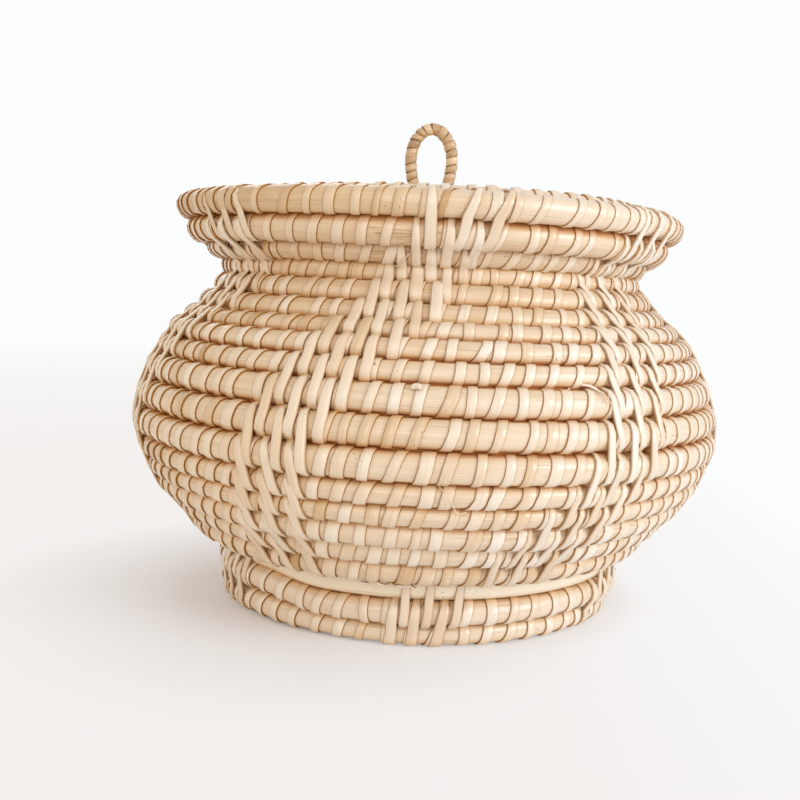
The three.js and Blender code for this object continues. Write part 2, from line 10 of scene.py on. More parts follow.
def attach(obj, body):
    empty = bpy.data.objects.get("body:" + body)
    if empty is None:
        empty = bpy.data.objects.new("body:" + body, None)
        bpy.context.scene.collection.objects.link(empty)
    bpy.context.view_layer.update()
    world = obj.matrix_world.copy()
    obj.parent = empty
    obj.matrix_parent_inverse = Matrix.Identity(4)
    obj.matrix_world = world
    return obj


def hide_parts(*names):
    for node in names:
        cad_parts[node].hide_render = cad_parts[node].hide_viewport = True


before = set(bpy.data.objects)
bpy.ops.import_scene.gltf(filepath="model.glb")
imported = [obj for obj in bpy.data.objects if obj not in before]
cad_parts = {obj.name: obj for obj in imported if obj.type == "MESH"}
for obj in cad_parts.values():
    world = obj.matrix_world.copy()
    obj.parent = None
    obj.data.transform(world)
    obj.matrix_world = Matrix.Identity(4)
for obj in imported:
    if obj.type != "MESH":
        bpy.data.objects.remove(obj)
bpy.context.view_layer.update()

# Lengths are in millimetres until a mesh is made, and in metres in the materials
MM = 0.001
TURN = 2 * math.pi
rng = np.random.default_rng(20)

# Camera: place, aim and lens in the photograph's square frame
CAMERA_PLACE = (0.0, -362.5, 111.1)
CAMERA_PITCH = math.radians(6.60)
CAMERA_ROLL = math.radians(2.20)
CAMERA_YAW = math.radians(-1.393)
CAMERA_LENS = 43.785
CAMERA_SENSOR = 36.0
CAMERA_NEAR = 10.0

# Wall profile through the rod centres, from the lip down to the middle of the base: radius and height
FLOOR_MIDDLE = (0.0, 30.53)
WALL_PROFILE = [
    (88.4, 139.83),  # lip
    (81.0, 126.83),  # flare
    (74.4, 122.03),  # ledge
    (71.5, 115.23),  # throat
    (80.1, 102.53),  # neck
    (90.3, 93.93),  # shoulder
    (96.5, 80.03),  # upper belly
    (100.2, 63.03),  # belly
    (96.2, 48.23),  # lower belly
    (85.1, 35.43),  # heel
    (77.6, 26.8),  # base edge
    (69.6, 30.53),  # floor edge
    FLOOR_MIDDLE,
]
PROFILE_STEPS = 120

# Rods of the coil: name, diameter and the turn at which each ends. Turn 1 passes the front of the rim
COIL_START = 0.36
COIL_RODS = [
    ("rim_rod", 9.5, 1.5),
    ("throat_rod", 7.8, 6.5),
    ("shoulder_rod", 6.8, 9.5),
    ("belly_rod", 9.15, 12.5),
    ("tuck_rod", 6.95, 14.5),
    ("lower_rod", 9.15, 17.5),
    ("base_rod", 9.0, None),
]
# Rods are not even: what each turn near the rim adds to its rod's diameter
UNEVEN_TURNS = (1, 2, 3, 4, 5, 6)
UNEVEN_GAINS = (-1.1, 1.4, 0.6, -0.9, 0.1, 0.0)
# Rods pressed against their neighbours are a little square in section: 2 is round
PRESSED_POWER = 2.45
ROUND_POWER = 2.0
BASE_HOLE = 7.2
MOST_TURNS = 27
COIL_STEPS = 48
RING_STEPS = 144
FEWEST_STEPS = 12
RIM_TAPER = 0.05
RIM_TIP_SHARE = 0.45

# Cane strips
STRIP_THICKNESS = 0.56
CORE_SHRINK = 0.34
WRAP_SHRINK = STRIP_THICKNESS * 0.9
STRIP_WIDTH = 3.0
FLOOR_CLEARANCE = 0.05
MOST_SEED = 90

# Strands of the lacing: thickness, how far they sink into the rods, and how they lie in a group
STITCH_HEIGHT = 0.58
STITCH_SINK = -0.05
STITCH_SPACING = 8.7
STITCH_OFFSET = 3.5
STITCH_SPREAD = 0.5
STITCH_PIVOT = 0.25
STRAND_WIDTH_SPREAD = 0.07
STRAND_TONE = 0.54
STRAND_TONE_SPREAD = 0.09
BACK_RIM_PRESS = 0.3
BACK_RIM_SINK = 0.3

# Lacing columns: degrees to the right of the front at the rim, throat, belly and base edge
LACING_TURNS = (1, 4, 11.5, 17.5)
WALL_LACINGS = [
    (6, -2, -25, -30),
    (53, 45, 35.5, 17),
    (105, 86, 78, 74),
    (157, 141, 131, 126),
    (209, 197, 184, 178),
    (262, 252, 236, 230),
    (314, 308, 289, 282),
]
STRAND_WIDTHS = (3.4, 2.6, 3.0, 3.1, 3.0, 3.1, 3.0)
LACING_END = 17.12
CROSSING_TRIES = 12
# Strands of the front group on the rim: place along the rod and lean
FRONT_RIM_STRANDS = ((-8.9, 0.0), (2.5, -7.2), (11.5, -8.5))

# Foot hoops: centre radius, height and diameter, and what each gains where rods overlap at the front left
BARE_HOOP = (69.7, 20.1, 9.2)
UPPER_HOOP = (69.9, 11.2, 8.7)
LOWER_HOOP = (67.8, 3.85, 7.5)
FOOT_SWELLS = {
    BARE_HOOP: (-1.5, 1.2, 0.0),
    UPPER_HOOP: (-0.3, 2.3, 0.6),
    LOWER_HOOP: (1.0, 0.75, 1.5),
}
NO_SWELL = (0, 0, 0)
SWELL_DEGREES = (-130, -95, -44, -24)
SWELL_SHARES = (0, 1, 1, 0)
# Wraps of the foot: pitch, width, tone and painted crevice shade
FOOT_WRAPS = (7.4, 3.2, 0.64, 0.4)
FOOT_TIES = 6
UPPER_TIE_WIDTH = 2.9
LOWER_TIE_WIDTH = 3.6
TIE_SPACING = 7.2
TIE_STAGGER = 4.2
TIE_SPREAD = 0.4
TIE_TILT = -2.2
TIE_TILT_SPREAD = 0.6

# Lid
EDGE_RING = (72.0, 137.9, 8.0)
SEAT_RING = (70.5, 130.5, 7.4)
EDGE_WRAP_PITCH = 6.6
SEAT_WRAP_PITCH = 7.4
LID_COIL_RADIUS = 63.6
LID_ROD = 7.7
LID_STEP = 0.25
LID_START = (1 + LID_STEP) / 2
LID_TURNS = 7.97
LID_STEPS = 96
LID_FIRST_TIP = 0.3
LID_END_TAPER = 0.25
LID_TIP = 0.35
LID_WRAP_PITCH = 7.0
LID_SHADE_FILLER_DROP = 0.6
LID_TIES = 6
# Strands of the lid's ties: width, spacing, thickness and how far they sink in
LID_TIE = (2.9, 7.0, 0.28, 0.3)

# Knots that close the middles of the lid and of the base
KNOT_CANE = 2.9
KNOT_STEP = 2.75
KNOT_STEPS = 48
KNOT_SHORT = 0.35
KNOT_DOME = 0.6
KNOT_TONE = 0.45
KNOT_CLEARANCE = 1.0
KNOT_WRAP_PITCH = 3.9
KNOT_WRAP_WIDTH = 2.2
KNOT_WRAP_THICKNESS = 0.3
LID_KNOT_RADIUS = 6.8
LID_KNOT_RISE = 1.2
BASE_KNOT_RADIUS = 7.6
BASE_KNOT_RISE = 0.5

# Handle loop: its clinched ends bend up through the lid
HANDLE_CORE = 1.7
HANDLE_WRAP = 0.5
HANDLE_WRAP_WIDTH = 2.5
HANDLE_FOOT = 142.3
HANDLE_SPREAD = 4.3
HANDLE_HALF_WIDTH = 7.45
HANDLE_WIDEST_RISE = 15.4
HANDLE_ARCH_RISE = 10.8
HANDLE_CURLS = 24
HANDLE_CURL_DROP = 1.5
HANDLE_CLINCH_HEIGHT = 132.0
HANDLE_BENDS = ((11.0, 0.0), (3.0, 0.0), (0.4, 1.8), (0.0, 5.0))
HANDLE_SIDE_STEPS = 4
HANDLE_ARCH_STEPS = 6
HANDLE_CURVE_STEPS = 10
HANDLE_SHIFT = -0.75
HANDLE_TONE = 0.4
HANDLE_JITTER = 0.06
HANDLE_STRIPE = 0.11


# Curves

def run_length(points):
    steps = np.linalg.norm(np.diff(points, axis=0), axis=1)
    return np.concatenate([[0.0], np.cumsum(steps)])


def unit(vectors):
    return vectors / np.linalg.norm(vectors, axis=-1, keepdims=True)


def eased(share):
    """Rise from 0 to 1 that starts and ends slowly."""
    return share * share * (3 - 2 * share)


def signed_degrees(degrees):
    """The same direction, from -180 to 180."""
    return np.mod(degrees + 180, 360) - 180


def through(points, steps):
    """Smooth curve through points, as centripetal splines."""
    points = np.asarray(points, float)
    ends = np.vstack([2 * points[0] - points[1], points, 2 * points[-1] - points[-2]])
    share = np.linspace(0, 1, steps, endpoint=False)[:, None]
    pieces = []
    for a, b, c, d in zip(ends, ends[1:], ends[2:], ends[3:]):
        ab, bc, cd = (math.sqrt(np.linalg.norm(q - p)) for p, q in ((a, b), (b, c), (c, d)))
        leave = ((b - a) / ab - (c - a) / (ab + bc) + (c - b) / bc) * bc
        arrive = ((c - b) / bc - (d - b) / (bc + cd) + (d - c) / cd) * bc
        square = 3 * (c - b) - 2 * leave - arrive
        cube = 2 * (b - c) + leave + arrive
        pieces.append(b + leave * share + square * share**2 + cube * share**3)
    return np.vstack(pieces + [points[-1:]])


def polar(radius, azimuth, height):
    """Azimuth 0 is the front and grows to the right."""
    return np.stack(np.broadcast_arrays(radius * np.sin(azimuth), -radius * np.cos(azimuth), height), -1)


def smooth_noise(count, spacing, size):
    """Random values that wander slowly: one new value for each spacing samples."""
    knots = rng.normal(0, size, int(count / spacing) + 3)
    return np.interp(np.arange(count) / spacing, np.arange(len(knots)), knots)


# The coil

profile = through(WALL_PROFILE, PROFILE_STEPS)
profile_length = run_length(profile)
profile_along = unit(np.gradient(profile, profile_length, axis=0))
ramp_turns = [end + side for _, _, end in COIL_RODS[:-1] for side in (-0.5, 0.5)]
ramp_diameters = np.repeat([diameter for _, diameter, _ in COIL_RODS], 2)[1:-1]


def rod_diameter(turn):
    return np.interp(turn, ramp_turns, ramp_diameters) + np.interp(turn, UNEVEN_TURNS, UNEVEN_GAINS)


coil_turns = np.arange(COIL_START, MOST_TURNS, 1 / COIL_STEPS)
fall_steps = rod_diameter(coil_turns[:-1] + 0.5 / COIL_STEPS) / COIL_STEPS
coil_falls = np.concatenate([[0.0], np.cumsum(fall_steps)])
coil_end = np.interp(profile_length[-1] - BASE_HOLE, coil_falls, coil_turns)


def coil(turn):
    """Radius and height of the coil's centre, with the directions out of the wall and down it."""
    fallen = np.interp(turn, coil_turns, coil_falls)
    radius, height = (np.interp(fallen, profile_length, profile[:, k]) for k in (0, 1))
    along = [np.interp(fallen, profile_length, profile_along[:, k]) for k in (0, 1)]
    down = unit(np.stack(along, -1))
    out = np.stack([-down[..., 1], down[..., 0]], -1)
    return radius, height, out, down


# Rods

def swell(angles, power):
    """Share by which a pressed section reaches further than a round one."""
    return (np.abs(np.cos(angles)) ** power + np.abs(np.sin(angles)) ** power) ** (-1 / power)


class Rod:
    """Centre line with a frame round it: angle 0 points out, and a quarter turn points down."""

    def __init__(self, centres, outs, downs, radii, marks=None, closed=False, power=ROUND_POWER):
        self.centres = centres
        self.outs = np.broadcast_to(outs, centres.shape)
        self.downs = np.broadcast_to(downs, centres.shape)
        self.radii = np.broadcast_to(radii, len(centres))
        self.marks = marks
        self.closed = closed
        self.power = power
        self.lengths = run_length(centres)
        self.total = self.lengths[-1]

    def at(self, length):
        if self.closed:
            length = np.mod(length, self.total)

        def pick(values):
            return np.stack([np.interp(length, self.lengths, values[:, k]) for k in range(3)], -1)

        radius = np.interp(length, self.lengths, self.radii)
        return pick(self.centres), unit(pick(self.outs)), unit(pick(self.downs)), radius


def wall_rod(radius, height, out, down, radii, turns, power=ROUND_POWER):
    """Rod round the axis, whose section leans with the wall."""
    azimuth = turns * TURN
    outs, downs = (polar(lean[:, 0], azimuth, lean[:, 1]) for lean in (out, down))
    return Rod(polar(radius, azimuth, height), outs, downs, radii, turns, power=power)


def coil_rod(start, end):
    """Stretch of the coil between two turns, thinner than its place by the strips round it."""
    turns = np.linspace(start, end, max(FEWEST_STEPS, int((end - start) * RING_STEPS)))
    radius, height, out, down = coil(turns)
    tip = eased(np.clip((turns - COIL_START) / RIM_TAPER, 0, 1))
    share = RIM_TIP_SHARE + (1 - RIM_TIP_SHARE) * tip
    full = rod_diameter(turns) / 2 - CORE_SHRINK
    sink = full * (1 - share)
    radius = radius + sink * down[:, 0]
    height = height + sink * down[:, 1]
    return wall_rod(radius, height, out, down, full * share, turns, PRESSED_POWER)


def level_rod(radius, azimuth, height, radii, closed=False):
    """Rod that lies level round the axis."""
    outs = polar(1.0, azimuth, 0.0)
    return Rod(polar(radius, azimuth, height), outs, (0.0, 0.0, -1.0), radii, closed=closed)


def hoop_at(hoop, azimuth):
    """Radius, height and diameter of a hoop at an azimuth."""
    share = eased(np.interp(signed_degrees(np.degrees(azimuth)), SWELL_DEGREES, SWELL_SHARES))
    return [value + share * gain for value, gain in zip(hoop, FOOT_SWELLS.get(hoop, NO_SWELL))]


# Meshes

class Piece:
    """Grids of points gathered into one mesh with values for its material."""

    def __init__(self):
        self.points = []
        self.quads = []
        self.values = {"grain": [], "tone": [], "cut_edge_shadow": [], "dust": []}
        self.count = 0

    def add(self, points, grain, tone, cut_edge_shadow, dust, closed):
        """points is rows by columns by 3. Rows run along a rod or strip, and columns run round it."""
        rows, columns = points.shape[:2]
        index = np.arange(rows * columns).reshape(rows, columns) + self.count
        rings = np.hstack([index, index[:, :1]])
        if closed:
            rings = np.vstack([rings, rings[:1]])
        corners = [rings[:-1, :-1], rings[:-1, 1:], rings[1:, 1:], rings[1:, :-1]]
        self.quads.append(np.stack(corners, -1).reshape(-1, 4))
        if not closed:
            self.quads += [cap_quads(index[0]), cap_quads(index[-1])[:, ::-1]]
        self.points.append(points.reshape(-1, 3))
        self.values["grain"].append(grain.reshape(-1, 3))
        for label, values in (("tone", tone), ("cut_edge_shadow", cut_edge_shadow), ("dust", dust)):
            self.values[label].append(np.broadcast_to(values, (rows, columns)).ravel())
        self.count += rows * columns

    def make(self, name, look, body, *nodes):
        """Makes the piece with a material and its slot, in place of the named nodes."""
        material, slot = look
        points = np.vstack(self.points) * MM
        quads = np.vstack(self.quads)
        mesh = bpy.data.meshes.new(name)
        mesh.from_pydata(points.tolist(), [], quads.tolist(), shade_flat=False)
        for label, values in self.values.items():
            kind, field = ("FLOAT_VECTOR", "vector") if label == "grain" else ("FLOAT", "value")
            attribute = mesh.attributes.new(label, kind, "POINT")
            attribute.data.foreach_set(field, np.concatenate(values).astype(np.float32).ravel())
        mesh.materials.append(material)
        piece = bpy.data.objects.new(name, mesh)
        bpy.context.scene.collection.objects.link(piece)
        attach(piece, body)
        if nodes:
            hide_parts(*nodes)


def cap_quads(ring):
    """Closes an even ring of points with a row of quads."""
    half = len(ring) // 2
    first = ring[:half + 1]
    second = np.concatenate([ring[:1], ring[:half - 1:-1]])
    return np.stack([first[:-1], second[:-1], second[1:], first[1:]], -1)[1:-1]


SIDES = 20
THIN_SIDES = 12
THREAD_SIDES = 6
CANE_WAVER = 0.008
WAVER_SPACING = 9
JOIN_STEPS = 12

# Painted shade: brown darkening where rows meet, from this share of the way up or down a rod, and less on the
# inside
CREVICE_FROM = 0.80
CREVICE_SHADE = 0.66
INSIDE_SHADE = 0.3
INSIDE_FROM = -0.1
# Painted shade on the dark filler: full where it faces out past this, less on the inside
FILLER_SHADE_FROM = 0.2


def painted_crevice_shade(angles, above):
    """Share of painted brown shade by angle round a rod: above scales it on the upper side."""
    sines = np.sin(angles)
    share = np.clip((np.abs(sines) - CREVICE_FROM) / (1 - CREVICE_FROM), 0, 1)
    inside = np.where(np.cos(angles) < INSIDE_FROM, INSIDE_SHADE, 1.0)
    over = np.where(sines < 0, above, 1.0)
    return CREVICE_SHADE * eased(share) * inside * over


def add_core(piece, rod, tone=0.5, seed=0.0, sides=SIDES, dust=1.0, above=1.0, stain=0.0):
    """Rod with the slight unevenness of natural cane."""
    count = len(rod.lengths) - (1 if rod.closed else 0)
    waver = 1 + smooth_noise(count, WAVER_SPACING, CANE_WAVER)
    if rod.closed:
        ease = np.clip(np.arange(count)[::-1] / JOIN_STEPS, 0, 1)
        waver = 1 + (waver - 1) * ease + (waver[0] - 1) * (1 - ease)
    angles = np.arange(sides) * TURN / sides
    reach = (rod.radii[:count] * waver)[:, None, None] * swell(angles, rod.power)[:, None]
    outs = rod.outs[:count, None] * np.cos(angles)[:, None]
    downs = rod.downs[:count, None] * np.sin(angles)[:, None]
    points = rod.centres[:count, None] + reach * (outs + downs)
    around = angles * rod.radii.mean()
    grain = np.stack(np.broadcast_arrays(rod.lengths[:count, None], around, seed), -1)
    # Painted shade: the dark filler between rows is darkened
    stained = np.where(np.cos(angles) > FILLER_SHADE_FROM, stain, INSIDE_SHADE * stain)
    # Painted shade: brown darkening in the crevices where rows meet
    dusty = np.maximum(dust * painted_crevice_shade(angles, above), stained)
    piece.add(points, grain, tone, 0.0, dusty, rod.closed)


# Section of a flat strip: share of its width, share of its thickness, and how much cut edge shows. The cut edge
# is painted dark brown: partly its own colour, partly a painted shadow line along the strip
STRIP_SECTION = np.array([
    (-0.50, -0.20, 1.0), (-0.50, 0.62, 1.0), (-0.43, 0.92, 0.0), (0.00, 1.10, 0.0),
    (0.43, 0.92, 0.0), (0.50, 0.62, 1.0), (0.50, -0.20, 1.0), (0.00, -0.20, 1.0),
])

# Section of a flat strand that lies over the strips; its sides are painted dark, partly as a painted shadow
# line
STRAND_SECTION = np.array([
    (-0.48, -0.70, 0.8), (-0.50, 0.50, 0.6), (-0.38, 0.90, 0.0), (0.00, 1.04, 0.0),
    (0.38, 0.90, 0.0), (0.50, 0.50, 0.6), (0.48, -0.70, 0.8), (0.00, -0.70, 0.8),
])


def add_ribbon(piece, path, normals, widths, heights, tones, seeds, section, closed, dust=0.0):
    """Strip along a path, lying on the side that the normals point away from."""
    if closed:
        heading = np.roll(path, -1, axis=0) - np.roll(path, 1, axis=0)
    else:
        heading = np.gradient(path, axis=0)
    given = (run_length(path), widths, heights, tones, seeds, dust)
    columns = [np.broadcast_to(values, len(path))[:, None] for values in given]
    lengths, widths, heights, tones, seeds, dust = columns
    across = unit(np.cross(normals, heading))
    sides = section[:, 0] * widths
    lifts = section[:, 1] * heights
    points = path[:, None] + across[:, None] * sides[..., None] + normals[:, None] * lifts[..., None]
    points[..., 2] = np.maximum(points[..., 2], FLOOR_CLEARANCE)
    grain = np.stack(np.broadcast_arrays(lengths, sides, seeds), -1)
    piece.add(points, grain, tones, section[:, 2], dust, closed)


# One wrap round a rod, in degrees from the inside, over the top or under, back to the inside
WRAP_STATIONS = np.array([-180, -143, -112, -86, -62, -40, -20, 0, 20, 40, 62, 86, 112, 143], float)
LEAN_REACH = 100.0
MOST_LEANING_GAP = 9.0
INSIDE_PRESS = 0.6

# How wraps differ from each other
LEAN_SPREAD = 0.3
WIDTH_SPREAD = 0.12
WIDTH_LIMITS = (0.72, 1.35)
THICKNESS_SPREAD = 0.12
END_WIDTH = 0.4
TONE_SPACING = 14
TONE_WANDER = 0.11
TONE_SPREAD = 0.08
ODD_SHARE = 0.06
ODD_DARKER = (0.15, 0.4)
MOST_JITTER = 0.4


def wound_path(rod, places, lean):
    """Path of a strip that passes the outside of a rod at each of the places, and the rod's heading there."""
    gaps = np.diff(places)
    before = np.concatenate([gaps[:1], gaps])
    after = np.concatenate([gaps, gaps[-1:]])
    turned = WRAP_STATIONS
    reach = np.minimum(np.abs(turned), LEAN_REACH) / 360
    gap = np.where(turned < 0, before[:, None], after[:, None])
    leaning = lean[:, None] * gap.clip(max=MOST_LEANING_GAP) * reach
    hidden = np.clip((np.abs(turned) - LEAN_REACH) / (180 - LEAN_REACH), 0, 1)
    shift = leaning * (1 - hidden) + gap / 2 * hidden
    lengths = (places[:, None] + np.sign(turned) * shift).ravel()
    angles = np.radians(np.tile(-WRAP_STATIONS, len(places)))
    centre, out, down, radius = rod.at(lengths)
    radius = radius * swell(angles, rod.power)
    path = centre + out * (np.cos(angles) * radius)[:, None] + down * (np.sin(angles) * radius)[:, None]
    return path, unit(np.cross(out, down))


def wrap_tones(count, tone):
    """Tone of each wrap: it wanders slowly, with a few odd ones."""
    tones = tone + smooth_noise(count, TONE_SPACING, TONE_WANDER) + rng.normal(0, TONE_SPREAD, count)
    odd = rng.random(count) < ODD_SHARE
    return np.where(odd, tones - rng.uniform(*ODD_DARKER, count), tones)


def add_wraps(piece, rod, places, width=STRIP_WIDTH, lean=1.0, thickness=STRIP_THICKNESS, tone=0.5, dust=1.0,
              above=1.0, stripe=0.0):
    """One long strip wound round a rod, uneven in width, lean and tone from wrap to wrap."""
    count = len(places)
    leans = lean + rng.normal(0, LEAN_SPREAD, count)
    path, rod_heading = wound_path(rod, places, leans)
    normals = unit(np.cross(rod_heading, np.gradient(path, axis=0)))
    stations = len(WRAP_STATIONS)
    wrap_widths = width * (1 + rng.normal(0, WIDTH_SPREAD, count)).clip(*WIDTH_LIMITS)
    widths = np.repeat(wrap_widths, stations)
    widths[:2] *= END_WIDTH
    widths[-2:] *= END_WIDTH
    pressed = np.where(np.abs(WRAP_STATIONS) > LEAN_REACH, INSIDE_PRESS, 1.0)
    thicknesses = thickness * (1 + rng.normal(0, THICKNESS_SPREAD, count))
    heights = np.repeat(thicknesses, stations) * np.tile(pressed, count)
    striped = wrap_tones(count, tone) + stripe * (-1.0) ** np.arange(count)
    tones = np.repeat(striped, stations)
    seeds = np.repeat(rng.uniform(0, MOST_SEED, count), stations)
    # Painted shade: the wraps darken towards brown where rows meet
    dusty = dust * np.tile(painted_crevice_shade(np.radians(-WRAP_STATIONS), above), count)
    add_ribbon(piece, path, normals, widths, heights, tones, seeds, STRIP_SECTION, False, dusty)


def spaced(first, last, pitch, jitter):
    """Places from first to last about a pitch apart."""
    count = max(3, int((last - first) / pitch))
    places = np.linspace(first, last, count)
    inner = rng.normal(0, jitter * pitch, count).clip(-MOST_JITTER * pitch, MOST_JITTER * pitch)
    inner[[0, -1]] = 0
    return places + inner


# Materials

def node_tools(material):
    material.use_nodes = True
    nodes = material.node_tree.nodes
    links = material.node_tree.links
    nodes.clear()

    def node(kind, inputs=(), **settings):
        made = nodes.new(kind)
        for key, value in settings.items():
            setattr(made, key, value)
        for key, value in dict(inputs).items():
            if isinstance(value, bpy.types.NodeSocket):
                links.new(value, made.inputs[key])
            else:
                made.inputs[key].default_value = value
        return made

    return node


def colour(red, green, blue):
    """Linear colour of an sRGB one that is given from 0 to 255."""
    def linear(value):
        share = value / 255
        return share / 12.92 if share <= 0.04045 else ((share + 0.055) / 1.055) ** 2.4
    return (linear(red), linear(green), linear(blue), 1.0)


def ramp(node, factor, stops):
    made = node("ShaderNodeValToRGB", {"Fac": factor})
    elements = made.color_ramp.elements
    while len(elements) < len(stops):
        elements.new(0.5)
    for element, (place, value) in zip(elements, stops):
        element.position = place
        element.color = colour(*value)
    return made.outputs["Color"]


def streaks(node, grain, along, across, detail):
    """Noise drawn out along the fibres: lengths of its cells in millimetres."""
    scale = (1 / along, 1 / across, SEED_SCALE)
    scaled = node("ShaderNodeVectorMath", {0: grain, 1: scale}, operation="MULTIPLY")
    noise = node("ShaderNodeTexNoise", {"Vector": scaled.outputs[0], "Scale": 1.0, "Detail": detail})
    return noise.outputs["Fac"]


def math_node(node, operation, *values, clamp=False):
    return node("ShaderNodeMath", enumerate(values), operation=operation, use_clamp=clamp).outputs[0]


def mixed(node, factor, a, b, blend="MIX"):
    inputs = {0: factor, 6: a, 7: b}
    return node("ShaderNodeMix", inputs, data_type="RGBA", blend_type=blend).outputs[2]


def range_of(node, value, low, high, to_low=0.0, to_high=1.0):
    inputs = {"Value": value, "From Min": low, "From Max": high, "To Min": to_low, "To Max": to_high}
    return node("ShaderNodeMapRange", inputs, clamp=True).outputs["Result"]


# Noises of the cane's surface: length and breadth of their cells in millimetres, and their detail
SEED_SCALE = 0.37
FIBRES = (22, 0.42, 4.0)
PATCHES = (26, 7.0, 2.0)
FINE_FIBRES = (5, 0.16, 2.0)

# Values of those noises at which stains start to show, and show in full
STAINED_PATCHES = (0.60, 0.74)
STAINED_FIBRES = (0.40, 0.62)

# Marks: a noise, and the values at which it starts to show and shows in full
DOTS = ((0.9, 0.7, 0.0), (0.78, 0.82))
DOTTED_AREAS = ((15, 11, 0.0), (0.62, 0.68))
HAIRS = ((30, 0.30, 1.0), (0.60, 0.68))
FRAYED_AREAS = ((34, 9.0, 1.0), (0.50, 0.60))

# What the noises do to tone, roughness and relief
FIBRE_TONE = 0.42
PATCH_TONE = 0.5
DOT_SHARE = 0.7
SMOOTHER = 0.08
ROUGHER = 0.12
FINE_RELIEF = 0.35
RELIEF_DEPTH = 0.0002

# Sheen, which cut edges and the painted crevice shade lack
SPECULAR = 0.45
COAT = 0.5
COAT_ROUGHNESS = 0.14

# Painted light and shade: the side to the left is painted more golden as in warm shade, and the side to the
# right paler as where light falls, with fainter cut edges
PAINTED_SHADE_SIDE = (0.015, -0.080)
PAINTED_SHADE_GOLD = (1.0, 0.915, 0.76, 1.0)
PAINTED_LIGHT_SIDE = (0.0, 0.085)
PAINTED_LIGHT_GAIN = 0.13
PAINTED_LIGHT_EDGE = -0.4

# Painted shade: between the rods the colour is painted darker, and warmer as it gets darker
WARM_SHADE = (1.0, 0.865, 0.65, 1.0)
SHADE_REACH = 0.004
SHADE_SAMPLES = 4
SHADE_SHOWS = (0.95, 0.25)

ROD_STOPS = [
    (0.10, (194, 157, 108)), (0.36, (218, 188, 150)), (0.58, (229, 207, 181)), (0.86, (236, 221, 203)),
]
STRIP_STOPS = [
    (0.06, (194, 155, 106)), (0.30, (220, 191, 155)), (0.56, (233, 214, 192)), (0.84, (239, 228, 214)),
]
BARE_STOPS = [(0.10, (229, 208, 177)), (0.45, (241, 225, 201)), (0.85, (246, 235, 217))]
HANDLE_STOPS = [
    (0.12, (160, 122, 80)), (0.42, (200, 165, 124)), (0.66, (222, 192, 155)), (0.90, (238, 212, 178)),
]
# Colour of cut edges: partly the cane's own edge, partly a painted shadow line beside each strip
EDGE_AND_SHADOW_BROWN = colour(152, 104, 44)
HANDLE_EDGE_AND_SHADOW = colour(134, 98, 62)
CREVICE_SHADE_BROWN = colour(188, 118, 54)
OLIVE_STREAK = colour(190, 164, 118)
DOT_BROWN = colour(96, 64, 40)


